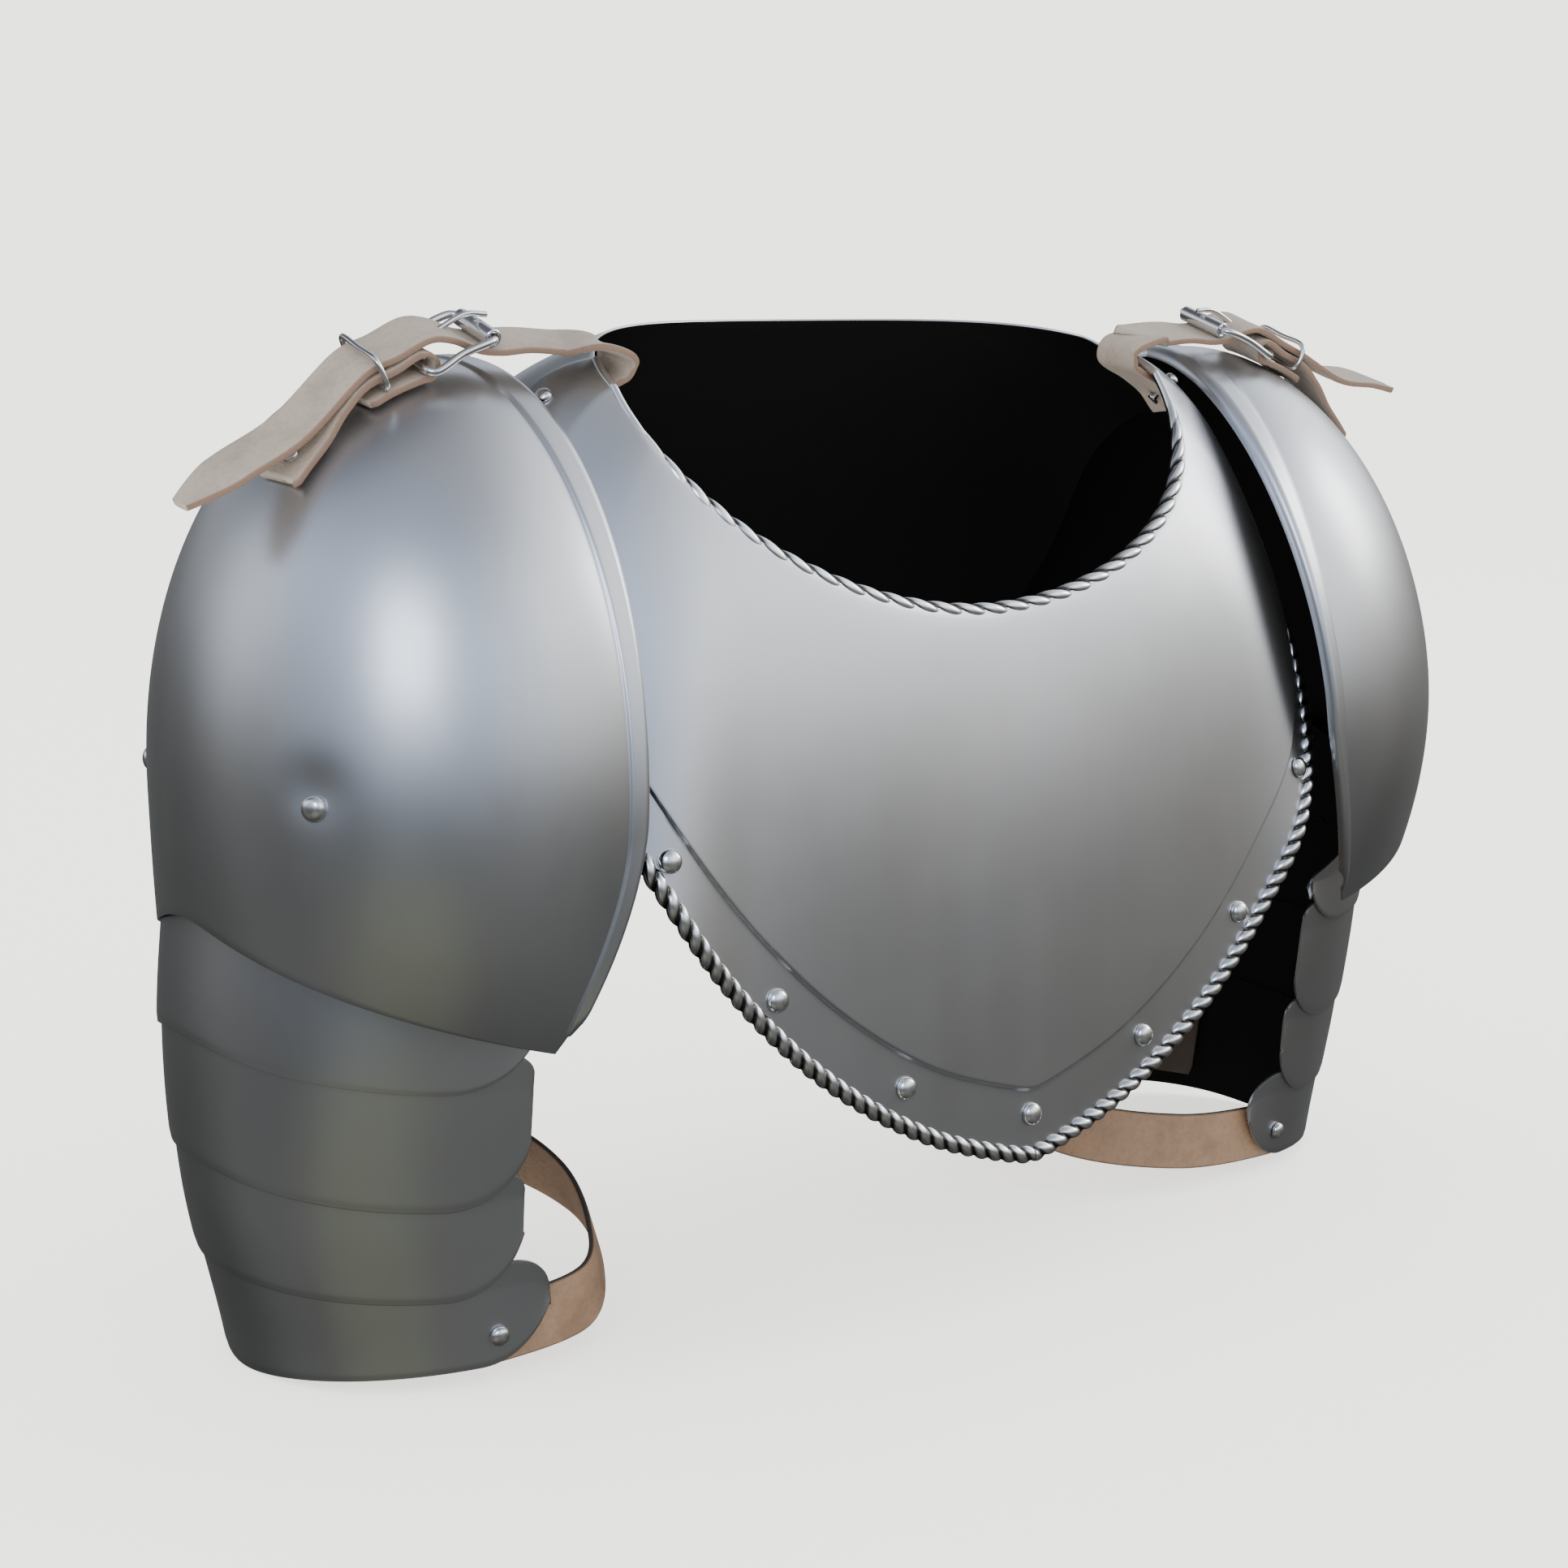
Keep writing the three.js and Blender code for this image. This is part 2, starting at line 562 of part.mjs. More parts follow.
// The strap lies flat across a curved dome, so its middle stands a little clear of the plate.
const LEAF = PLATE / 2 + GAP + 0.5 + LEATHER / 2;
const BAR_X = 213;
const BAR_FOLD = LEATHER / 2 + WIRE + GAP + 0.9;
const BAR_Z = domeHeight(BAR_X) + LEAF + BAR_FOLD;
const ROLLER_X = 184.5;
const ROLLER_Z = 75.5;
const ROLLER_RADIUS = 3.3;
const UNDER_ROLLER_Z = ROLLER_Z - ROLLER_RADIUS - GAP - LEATHER / 2;
const FRAME_HALF = STRAP_WIDTH / 2 + 3.4;
const KEEPER_X = 226;
const KEEPER_WIRE = 1.1;
const LEAF_SPREAD = LEATHER + 2 * KEEPER_WIRE + 1.4;              // between the two folded leaves
const TAIL_LIFT = { left: 27, right: 0 };                        // the left free end stands higher
const TAIL = [[262, 41, 0.4], [284, 29, 0.75], [303, 17.5, 1]];   // and the share of that lift

// A point of the strap line over the dome's height at `x`, raised squarely off the plate.
function leafPoint(x, layer, extra = 0) {
  const slope = domeHeight(x + 1) - domeHeight(x);
  const rise = (LEAF + layer * LEAF_SPREAD + extra) / Math.hypot(slope, 1);
  return onStrap(x - slope * rise, domeHeight(x) + rise);
}

// Buckle strap: riveted to the dome, round the buckle's bar, its cut end tucked back underneath.
function buckleStrap() {
  const turn = [80, 130, 180, -130, -80].map((angle) =>
    onStrap(BAR_X + BAR_FOLD * Math.cos(rad(angle)), BAR_Z + BAR_FOLD * Math.sin(rad(angle))));
  const leaf = (list) => list.map(([x, layer]) => leafPoint(x, layer));
  const long = leaf([[264, 0], [258, 0], [250, 0.1], [241, 0.6], [232, 1], [221, 1]]);
  const short = leaf([[221, 0], [227, 0], [234, 0]]);
  const route = [...long, ...turn, ...short];
  return ribbon(route.map((p) => p.toArray()), route.map(() => STRAP_LEAN.toArray()),
    () => STRAP_WIDTH, LEATHER, 34);
}

// The rivet through the buckle strap's long leaf and the dome.
function leafRivet() {
  const seat = onStrap(LEAF_RIVET_X, domeHeight(LEAF_RIVET_X));
  const p = seat.clone().sub(V(...DOME));
  p.y -= DOME_TOP_LEAN * p.z;
  const normal = V(p.x / DOME_RADIUS ** 2, p.y / DOME_RADIUS ** 2, p.z / DOME_HEIGHT ** 2).normalize();
  const rise = LEAF + LEATHER / 2 + GAP + 0.4;
  seat.addScaledVector(normal, rise);
  return { frame: rivetFrame(seat, normal), head: SMALL_RIVET_HEAD, grip: rise + PLATE / 2 + 2 };
}

// Collar strap: riveted under the shoulder plate, over the neck rim, under the roller, up through
// the frame, over the bar, through the keeper and out to its pointed free end.
function collarStrap(lift) {
  const along = (t) => gorgetPoint(COLLAR_ANGLE, t);
  const under = PLATE / 2 + LAP + PLATE + GAP + 1.3 + LEATHER / 2;
  const normal = gorgetNormal(COLLAR_ANGLE, 0.1);
  const inward = along(0).sub(along(0.3)).normalize();
  const rim = along(0);
  const route = [0.62, 0.4, 0.18].map((t) => along(t).addScaledVector(gorgetNormal(COLLAR_ANGLE, t), -under));
  route.push(rim.clone().addScaledVector(normal, -4.6).addScaledVector(inward, 5.5));
  route.push(rim.clone().addScaledVector(normal, 1.5).addScaledVector(inward, 8));
  route.push(rim.clone().addScaledVector(normal, 8).addScaledVector(inward, 2.5));
  route.push(onStrap(150, 70), onStrap(168, 71), onStrap(ROLLER_X - 4, UNDER_ROLLER_Z));
  route.push(onStrap(ROLLER_X + 5, UNDER_ROLLER_Z + 0.8), onStrap(200, 74.5), onStrap(209, 75));
  for (const x of [KEEPER_X - 7, KEEPER_X + 3]) route.push(leafPoint(x, 1, LEATHER + 1));
  for (const [x, z, share] of TAIL) route.push(onStrap(x, z + share * lift));
  const across = route.map((_, k) => (k < 6 ? [0, 1, 0.12] : STRAP_LEAN.toArray()));
  const width = (t) => STRAP_WIDTH * mix(1, 0.35, Math.max(0, (t - 0.92) / 0.08) ** 1.4);
  return ribbon(route.map((p) => p.toArray()), across, width, LEATHER, 48);
}

// Frame: a ring of wire whose two ends carry the roller and the bar.
function buckleFrame() {
  const corner = 2.5;
  const side = (x, z, hand) => onStrap(x, z, hand * FRAME_HALF);
  const route = [];
  for (const hand of [1, -1]) {
    const near = [ROLLER_X, ROLLER_Z];
    const far = [BAR_X, BAR_Z];
    const middle = side((ROLLER_X + BAR_X) / 2, (ROLLER_Z + BAR_Z) / 2 + 1, hand);
    const run = [0.2, 0.6, 0.84].map((k) => onStrap(...near, hand * k * FRAME_HALF));
    run.push(side(near[0] + corner, near[1], hand), middle, side(far[0] - corner, far[1], hand));
    run.push(...[0.84, 0.6, 0.2].map((k) => onStrap(...far, hand * k * FRAME_HALF)));
    route.push(...(hand > 0 ? run : run.reverse()));
  }
  return wire(route.map((p) => p.toArray()), WIRE, 36, true);
}

function buckleRoller() {
  const half = STRAP_WIDTH / 2 + 0.4;
  const bore = WIRE + 0.7;
  const ring = [[bore, -half], [ROLLER_RADIUS, -half], [ROLLER_RADIUS, half], [bore, half], [bore, -half]];
  const tube = new THREE.LatheGeometry(ring.map((p) => new THREE.Vector2(...p)), 12);
  return tube.applyMatrix4(rivetFrame(onStrap(ROLLER_X, ROLLER_Z), STRAP_LEAN));
}

// Tongue: hooked round the bar, through the strap and resting on the roller.
function tongueRoute() {
  const hook = WIRE + TONGUE_WIRE + 0.8;
  const turn = [-60, -20, 20, 60, 90].map((angle) =>
    onStrap(BAR_X + hook * Math.cos(rad(angle)), BAR_Z + hook * Math.sin(rad(angle))));
  const top = ROLLER_Z + ROLLER_RADIUS + TONGUE_WIRE + 0.4;
  return [...turn, onStrap(BAR_X - 9, BAR_Z + 8), onStrap(ROLLER_X + 5, top), onStrap(ROLLER_X - 4, top)];
}
const buckleTongue = (radius) => wire(tongueRoute().map((p) => p.toArray()), radius, 14);

// Keeper: a wire ring round the free end and the long leaf.
function keeper() {
  const slack = LEATHER / 2 + KEEPER_WIRE + 0.8;
  const half = STRAP_WIDTH / 2 + KEEPER_WIRE + 1;
  const [low, high] = [-slack, LEATHER + 1 + slack + 0.4];
  const at = ([height, aside]) => leafPoint(KEEPER_X, 1, height).addScaledVector(STRAP_LEAN, aside);
  const rim = [[low, half - 2], [low + 2, half], [high - 2, half], [high, half - 2], [high, 0]];
  const route = [...rim, ...rim.slice(0, 4).reverse().map(([h, a]) => [h, -a]), [low, 0]];
  return wire(route.map((p) => at(p).toArray()), KEEPER_WIRE, 28, true);
}

// ---- Assembly -----------------------------------------------------------------------------

const model = new THREE.Group();
function add(name, geometry, material) {
  const mesh = new THREE.Mesh(geometry, material);
  mesh.name = name;
  model.add(mesh);
}

const border = borderRivets();
const collarRivet = rivetAt(gorgetPoint(COLLAR_ANGLE, 0.4), gorgetNormal(COLLAR_ANGLE, 0.4),
  SMALL_RIVET_HEAD, PLATE / 2 + LAP + PLATE + GAP + 1.5 + LEATHER);
const acrossX = new THREE.Matrix4().makeScale(-1, 1, 1);
const otherSide = ({ frame, ...rest }) => {
  const point = new THREE.Vector3().setFromMatrixPosition(frame).applyMatrix4(acrossX);
  const normal = V(0, 1, 0).transformDirection(frame).applyMatrix4(acrossX);
  return { frame: rivetFrame(point, normal), ...rest };
};
const gorgetHoles = [collarRivet, otherSide(collarRivet)];
add('gorget_front', drilled(gorgetFront(), [...Object.values(border), ...gorgetHoles]), STEEL);
add('gorget_back', drilled(gorgetBack(), gorgetHoles), STEEL);
for (const [name, rivet] of Object.entries(border)) add(name, rivetShape(rivet), HARDWARE);

for (const side of ['left', 'right']) {
  const place = side === 'left' ? (geometry) => geometry : mirrored;
  const put = (name, geometry, material) => add(`${side}_${name}`, place(geometry), material);
  const dome = { front: domeRivet(-1), rear: domeRivet(1) };
  const arm = { front: armStrapRivet(-1), rear: armStrapRivet(1) };
  const leaf = leafRivet();
  put('shoulder_dome', drilled(shoulderDome(), [dome.front, dome.rear, leaf]), STEEL);
  for (let k = 0; k < LAMES.length; k += 1) {
    const holes = k === LAMES.length - 1 ? [arm.front, arm.rear] : [];
    put(`lame_${k + 1}`, holes.length ? drilled(lame(k), holes) : lame(k), STEEL);
  }
  put('front_hanger', drilled(lameHanger(-1), [dome.front]), ARM_LEATHER);
  put('rear_hanger', drilled(lameHanger(1), [dome.rear]), ARM_LEATHER);
  put('arm_strap', drilled(armStrap(ARM_STRAP_REACH[side]), [arm.front, arm.rear]), ARM_LEATHER);
  put('front_dome_rivet', rivetShape(dome.front), HARDWARE);
  put('rear_dome_rivet', rivetShape(dome.rear), HARDWARE);
  put('front_arm_rivet', rivetShape(arm.front), HARDWARE);
  put('rear_arm_rivet', rivetShape(arm.rear), HARDWARE);

  const slot = solids(buckleTongue(TONGUE_WIRE + 0.6));
  put('buckle_strap', fromSolid(solids(drilled(buckleStrap(), [leaf])).subtract(slot)), STRAP);
  put('collar_strap', fromSolid(solids(drilled(collarStrap(TAIL_LIFT[side]), [collarRivet])).subtract(slot)), STRAP);
  put('strap_rivet', rivetShape(leaf), HARDWARE);
  put('collar_rivet', rivetShape(collarRivet), HARDWARE);
  put('buckle_frame', buckleFrame(), HARDWARE);
  put('buckle_roller', buckleRoller(), HARDWARE);
  put('buckle_tongue', buckleTongue(TONGUE_WIRE), HARDWARE);
  put('keeper', keeper(), HARDWARE);
}

export default model;
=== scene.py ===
"""A polished steel gorget with a pair of pauldrons buckled to it.

Millimetres are used for every shape and turned into metres when a mesh is made.
+Z is up, the wearer faces -Y and the wearer's right arm is on -X.
"""

import math

import bpy
import numpy as np
from mathutils import Matrix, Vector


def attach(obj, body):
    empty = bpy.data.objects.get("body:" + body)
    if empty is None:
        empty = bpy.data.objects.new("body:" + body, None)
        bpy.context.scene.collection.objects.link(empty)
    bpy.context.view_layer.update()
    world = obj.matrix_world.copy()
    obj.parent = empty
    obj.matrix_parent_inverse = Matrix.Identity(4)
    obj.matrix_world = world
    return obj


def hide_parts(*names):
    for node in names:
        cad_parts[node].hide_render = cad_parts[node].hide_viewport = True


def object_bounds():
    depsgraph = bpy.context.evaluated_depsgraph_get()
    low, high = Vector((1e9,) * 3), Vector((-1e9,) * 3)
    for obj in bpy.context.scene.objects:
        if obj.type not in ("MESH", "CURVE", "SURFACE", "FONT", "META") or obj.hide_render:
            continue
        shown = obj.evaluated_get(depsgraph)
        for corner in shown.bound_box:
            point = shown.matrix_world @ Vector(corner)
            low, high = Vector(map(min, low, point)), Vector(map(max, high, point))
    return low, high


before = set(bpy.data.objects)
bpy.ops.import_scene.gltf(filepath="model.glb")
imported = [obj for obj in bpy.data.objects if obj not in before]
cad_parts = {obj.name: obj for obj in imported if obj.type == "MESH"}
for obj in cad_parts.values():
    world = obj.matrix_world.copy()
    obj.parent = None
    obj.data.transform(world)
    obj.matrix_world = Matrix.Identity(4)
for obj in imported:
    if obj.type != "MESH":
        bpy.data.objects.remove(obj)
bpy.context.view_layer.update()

# ---- Driving dimensions, the same as the solid model's ---------------------------------------

PLATE = 1.2
GAP = 0.5
NECK_HALF_WIDTH = 138
NECK_FRONT = (-121, -33)
NECK_SHOULDER = (-67, 54)
NECK_BACK = (8, 77)
OUTLINE = np.array([
    (0, -149, -247), (50, -147, -229), (95, -145, -201), (132, -142, -166), (161, -138, -126),
    (182, -112, -72), (180, -80, -5), (172, -42, 36), (176, 8, 18), (180, 50, -40),
    (150, 78, -98), (80, 92, -128), (0, 96, -136)], float)
FRONT_PLATE_TO = 104
BACK_PLATE_FROM = 97
LAP = PLATE + 1.0
CHEST_BULGE = 9
BORDER_TIP, BORDER_SIDE = 25, 27
BORDER_STEP = 2
STRANDS = 2

DOME = np.array((196, -38, -90), float)
DOME_RADIUS = 105
DOME_BACK_RADIUS = 114
DOME_HEIGHT = 154
DOME_DEPTH = 230
DOME_TOP_LEAN = 0.085
DOME_FOOT_LEAN = 12
ARCH_POINT = 1.3
DOME_FOOT = 90

ARM = (193, -12)
LAME_LEVELS = (-120, -180, -240, -300, -340)
LAME_OUT = (102, 105, 99, 84, 75)
LAME_FRONT = (103, 98, 87, 77, 72)
LAME_BACK = (78, 77, 75, 71, 68)
LAME_TUCK = 3.2
LAME_LAP = 13
LAME_CORNER = 28
LAME_TOP_CORNER = (4, 8, 8, 17)
LAMES = ((-172, -20, -17, 86), (-221, -17, 0, 86), (-267, -7, 12, 86), (-311, 9, 9, 95))
DOME_EDGE_LOW = -124
DOME_EDGE_SLOPE = 0.66

LEATHER = 3
STRAP_WIDTH = 24
ARM_STRAP_WIDTH = 25
ARM_LEATHER = 2.4
ARM_STRAP_REACH = {"left": 98, "right": 131}
RIVET_HEAD = 4.6
SMALL_RIVET_HEAD = 3.4
RIVET_SHANK = 1.6
BORDER_RIVETS = ((0, 16), (19, 14.5), (40, 13), (61, 13.5))
DOME_RIVET = (89, 66, 8)
ARM_STRAP_RIVET = (81, -290)
HANGER_ANGLE = 38
HANGER_WIDTH = 20
HANGER_DEPTH = 2
COLLAR_ANGLE = 99.5
LEAF_RIVET_X = 258
WIRE = 1.5
TONGUE_WIRE = 1.1
KEEPER_WIRE = 1.1
BAR_X = 213
ROLLER_X, ROLLER_Z, ROLLER_RADIUS = 184.5, 75.5, 3.3
KEEPER_X = 226
TAIL_LIFT = {"left": 27, "right": 0}
TAIL = ((262, 41, 0.4), (284, 29, 0.75), (303, 17.5, 1))

rng = np.random.default_rng(7)

# ---- Working with arrays ----------------------------------------------------------------------


def vec(x, y, z):
    return np.stack(np.broadcast_arrays(x, y, z), -1).astype(float)


def unit(v):
    return v / np.linalg.norm(v, axis=-1, keepdims=True)


def smooth(x, a, b):
    """0 before a, 1 after b, and 3t^2 - 2t^3 between."""
    t = np.clip((x - a) / (b - a), 0, 1)
    return t * t * (3 - 2 * t)


def mix(a, b, t):
    return a + (b - a) * t


def hermite(x, knots, values):
    """A curve through the values at rising knots, each slope that of the line between its neighbours."""
    k = np.asarray(knots, float)
    v = np.asarray(values, float).reshape(len(k), -1)
    slope = np.gradient(v, k, axis=0)
    i = np.clip(np.searchsorted(k, x, side="right") - 1, 0, len(k) - 2)
    h = (k[i + 1] - k[i])[..., None]
    t = ((x - k[i])[..., None]) / h
    out = ((2 * t**3 - 3 * t**2 + 1) * v[i] + (t**3 - 2 * t**2 + t) * h * slope[i]
           + (3 * t**2 - 2 * t**3) * v[i + 1] + (t**3 - t**2) * h * slope[i + 1])
    return out[..., 0] if np.ndim(values) == 1 else out


def uniform_curve(points, t):
    """Uniform Catmull-Rom through points, t from 0 to 1."""
    p = np.vstack([2 * points[0] - points[1], points, 2 * points[-1] - points[-2]])
    s = np.asarray(t, float) * (len(points) - 1)
    i = np.clip(np.floor(s).astype(int), 0, len(points) - 2)
    w = (s - i)[..., None]
    a, b, c, d = p[i], p[i + 1], p[i + 2], p[i + 3]
    return 0.5 * (2 * b + (c - a) * w + (2 * a - 5 * b + 4 * c - d) * w**2
                  + (3 * b - a - 3 * c + d) * w**3)


def flow(points, count, closed=False, extra=None):
    """count points evenly spaced along a smooth route through points, with extra carried along."""
    p = np.asarray(points, float)
    e = np.zeros((len(p), 1)) if extra is None else np.asarray(extra, float)
    if closed:
        p, e = np.vstack([p[-3:], p, p[:4]]), np.vstack([e[-3:], e, e[:4]])
    k = np.concatenate([[0], np.cumsum(np.linalg.norm(np.diff(p, axis=0), axis=1) ** 0.5)])
    lo, hi = (k[3], k[-4]) if closed else (k[0], k[-1])
    u = np.linspace(lo, hi, 60 * len(p))
    q = hermite(u, k, p)
    run = np.concatenate([[0], np.cumsum(np.linalg.norm(np.diff(q, axis=0), axis=1))])
    at = np.interp(np.linspace(0, run[-1], count + 1 if closed else count), run, u)
    at = at[:-1] if closed else at
    return hermite(at, k, p), hermite(at, k, e)


def surface_normals(p):
    """Down the rows cross along the columns."""
    return unit(np.cross(np.gradient(p, axis=0), np.gradient(p, axis=1)))


# ---- Meshes -----------------------------------------------------------------------------------


def finish_mesh(name, points, quads, polygons, mats, hand=1, uv=None, sharp=None):
    """Points in millimetres become a smooth-shaded object at the origin; hand -1 mirrors it in X."""
    points = np.array(points, float).reshape(-1, 3)
    points[:, 0] *= hand
    faces = [tuple(f) for f in np.asarray(quads).reshape(-1, 4).tolist()]
    faces += [tuple(f) for f in polygons]
    if hand < 0:
        faces = [f[::-1] for f in faces]
    mesh = bpy.data.meshes.new(name)
    mesh.from_pydata((points / 1000).tolist(), [], faces)
    if uv is not None:
        layer = mesh.uv_layers.new(name="along")
        index = np.empty(len(mesh.loops), int)
        mesh.loops.foreach_get("vertex_index", index)
        layer.data.foreach_set("uv", np.asarray(uv, float).reshape(-1, 2)[index].ravel())
    mesh.shade_smooth()
    if sharp:
        mesh.set_sharp_from_angle(angle=math.radians(sharp))
    obj = bpy.data.objects.new(name, mesh)
    bpy.context.scene.collection.objects.link(obj)
    for mat in mats:
        mesh.materials.append(mat)
    return obj


def lay(name, p, mats, hand=1, wrap=False, ends=(), uv=None, sharp=None):
    """A grid of points (rows, columns): faces look along rows x columns. wrap joins the last column
    to the first; ends closes the first or last row with one face."""
    rows, cols = p.shape[:2]
    idx = np.arange(rows * cols).reshape(rows, cols)
    right = np.roll(idx, -1, 1) if wrap else idx[:, 1:]
    left = idx if wrap else idx[:, :-1]
    quads = np.stack([left[:-1], left[1:], right[1:], right[:-1]], -1)
    polygons = []
    if "first" in ends:
        polygons.append(idx[0].tolist())
    if "last" in ends:
        polygons.append(idx[-1][::-1].tolist())
    return finish_mesh(name, p, quads, polygons, mats, hand, uv, sharp)


def settle(obj, slot, *nodes):
    """The piece rides on the one body and stands for its solids; slot, its finish, is not used."""
    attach(obj, "root")
    if nodes:
        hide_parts(*nodes)
    return obj


def plate(name, p, hand=1, edge=0.35):
    """A sheet of steel: its mid surface, thickened, with its cut edges eased."""
    obj = lay(name, p, [STEEL, INSIDE_PAINTED_SHADE], hand)
    wall = obj.modifiers.new("wall", "SOLIDIFY")
    wall.thickness = PLATE / 1000
    wall.offset = 0
    wall.use_even_offset = True
    # Inner faces take the second material, the near-black painted shade.
    wall.material_offset = 1
    wall.material_offset_rim = 0
    ease = obj.modifiers.new("ease", "BEVEL")
    ease.width = edge / 1000
    ease.segments = 2
    ease.limit_method = "ANGLE"
    ease.angle_limit = math.radians(50)
    return settle(obj, "polished_steel", name.replace("_plate", ""))


def tube(route, radius, around, frame_up, closed=False, pattern=None):
    """Rings carried along a route: centre + r (cos f * side + sin f * up), with r = radius * pattern.
    Side is square to the route and to frame_up."""
    ahead = np.roll(route, -1, 0) - np.roll(route, 1, 0) if closed else np.gradient(route, axis=0)
    ahead = unit(ahead)
    side = unit(np.cross(ahead, frame_up))
    up = np.cross(side, ahead)
    f = np.linspace(0, 2 * np.pi, around, endpoint=False)
    r = np.broadcast_to(np.reshape(radius, (-1, 1)), (len(route), around))
    r = r if pattern is None else r * pattern(f)
    return route[:, None] + r[..., None] * (np.cos(f)[None, :, None] * side[:, None]
                                            + np.sin(f)[None, :, None] * up[:, None])


def ribbon_points(route, across, width, depth, crown=0.0):
    """A strap's rounded-rectangle section carried along a route: across the strap, a superellipse of
    power 7 in width and 3.5 in depth; crown lifts the middle of the strap."""
    f = np.linspace(0, 2 * np.pi, 40, endpoint=False)
    c, s = np.cos(f), np.sin(f)
    a = np.sign(c) * np.abs(c) ** (2 / 9)
    b = np.sign(s) * np.abs(s) ** (2 / 5)
    ahead = unit(np.gradient(route, axis=0))
    side = unit(across - (across * ahead).sum(-1, keepdims=True) * ahead)
    up = np.cross(side, ahead)
    half = np.reshape(width, (-1, 1)) / 2
    thick = np.reshape(depth, (-1, 1)) / 2
    lift = thick * b + crown * (1 - a**2)
    p = route[:, None] + (half * a)[..., None] * side[:, None] + lift[..., None] * up[:, None]
    run = np.concatenate([[0], np.cumsum(np.linalg.norm(np.diff(route, axis=0), axis=1))])
    uv = np.stack(np.broadcast_arrays((a * 0.5 + 0.5)[None, :] * (1 + 0 * run[:, None]),
                                      run[:, None] / 100), -1)
    return p, uv


# ---- Finishes ---------------------------------------------------------------------------------


def wire_node(tree, kind, settings=None, **inputs):
    """A node with its settings and its input values, by name or as i0, i1. A socket is linked."""
    n = tree.nodes.new(kind)
    for key, value in (settings or {}).items():
        setattr(n, key, value)
    for key, value in inputs.items():
        numbered = key[0] == "i" and key[1:].isdigit()
        socket = n.inputs[int(key[1:]) if numbered else key.replace("_", " ")]
        if isinstance(value, bpy.types.NodeSocket):
            tree.links.new(value, socket)
        else:
            socket.default_value = value
    return n


def new_group(name, inputs, outputs):
    g = bpy.data.node_groups.new(name, "ShaderNodeTree")
    for label, kind, value in inputs:
        g.interface.new_socket(label, in_out="INPUT", socket_type=kind).default_value = value
    for label, kind in outputs:
        g.interface.new_socket(label, in_out="OUTPUT", socket_type=kind)
    return g, g.nodes.new("NodeGroupInput"), g.nodes.new("NodeGroupOutput")


def ramp(tree, fac, stops):
    n = wire_node(tree, "ShaderNodeValToRGB", Fac=fac)
    n.color_ramp.elements[0].position, n.color_ramp.elements[0].color = stops[0][0], (*stops[0][1], 1)
    n.color_ramp.elements[1].position, n.color_ramp.elements[1].color = stops[-1][0], (*stops[-1][1], 1)
    for place, colour in stops[1:-1]:
        n.color_ramp.elements.new(place).color = (*colour, 1)
    return n.outputs["Color"]


def math_node(tree, operation, a, b=0.0):
    return wire_node(tree, "ShaderNodeMath", {"operation": operation}, i0=a, i1=b).outputs[0]


def mixed(tree, fac, a, b):
    n = wire_node(tree, "ShaderNodeMix", {"data_type": "RGBA"})
    for socket, value in ((n.inputs[0], fac), (n.inputs[6], a), (n.inputs[7], b)):
        if isinstance(value, bpy.types.NodeSocket):
            tree.links.new(value, socket)
        else:
            socket.default_value = value
    return n.outputs[2]


def noise(tree, where, scale, detail=3.0, rough=0.5, stretch=None):
    if stretch:
        where = wire_node(tree, "ShaderNodeMapping", Vector=where, Scale=stretch).outputs[0]
    return wire_node(tree, "ShaderNodeTexNoise", Vector=where, Scale=scale, Detail=detail,
                     Roughness=rough).outputs["Fac"]


def polish_group():
    """Hand polish: clouds of tone, faint hammer waves, upright polishing lines and dull patches."""
    g, gin, gout = new_group("hand_polish", [
        ("Tone", "NodeSocketColor", (0.5, 0.5, 0.5, 1)), ("Clouds", "NodeSocketFloat", 0.2),
        ("Roughness", "NodeSocketFloat", 0.25), ("Waves", "NodeSocketFloat", 0.1),
        ("Scratches", "NodeSocketFloat", 0.1)],
        [("Color", "NodeSocketColor"), ("Roughness", "NodeSocketFloat"), ("Normal", "NodeSocketVector")])
    at = wire_node(g, "ShaderNodeTexCoord").outputs["Object"]
    cloud = noise(g, at, 9.0, 4.0, 0.55)
    smear = noise(g, at, 22.0, 3.0, 0.5)
    lines = noise(g, at, 70.0, 2.0, 0.5, (1.0, 1.0, 0.12))
    tint = ramp(g, cloud, [(0.3, (0.80, 0.81, 0.80)), (0.5, (1, 1, 1)), (0.72, (0.93, 0.97, 1.06))])
    shade = mixed(g, gin.outputs["Clouds"], (1, 1, 1, 1), tint)
    tone = wire_node(g, "ShaderNodeMix", {"data_type": "RGBA", "blend_type": "MULTIPLY"})
    tone.inputs[0].default_value = 1
    g.links.new(gin.outputs["Tone"], tone.inputs[6])
    g.links.new(shade, tone.inputs[7])
    g.links.new(tone.outputs[2], gout.inputs["Color"])
    spread = math_node(g, "MULTIPLY", math_node(g, "SUBTRACT", smear, 0.5), 0.05)
    marks = math_node(g, "MULTIPLY", lines, gin.outputs["Scratches"])
    rough = math_node(g, "ADD", math_node(g, "ADD", gin.outputs["Roughness"], spread), marks)
    g.links.new(rough, gout.inputs["Roughness"])
    wave = noise(g, at, 16.0, 2.0, 0.4)
    soft = wire_node(g, "ShaderNodeBump", Strength=gin.outputs["Waves"], Distance=0.002, Height=wave)
    g.links.new(soft.outputs[0], gout.inputs["Normal"])
    return g


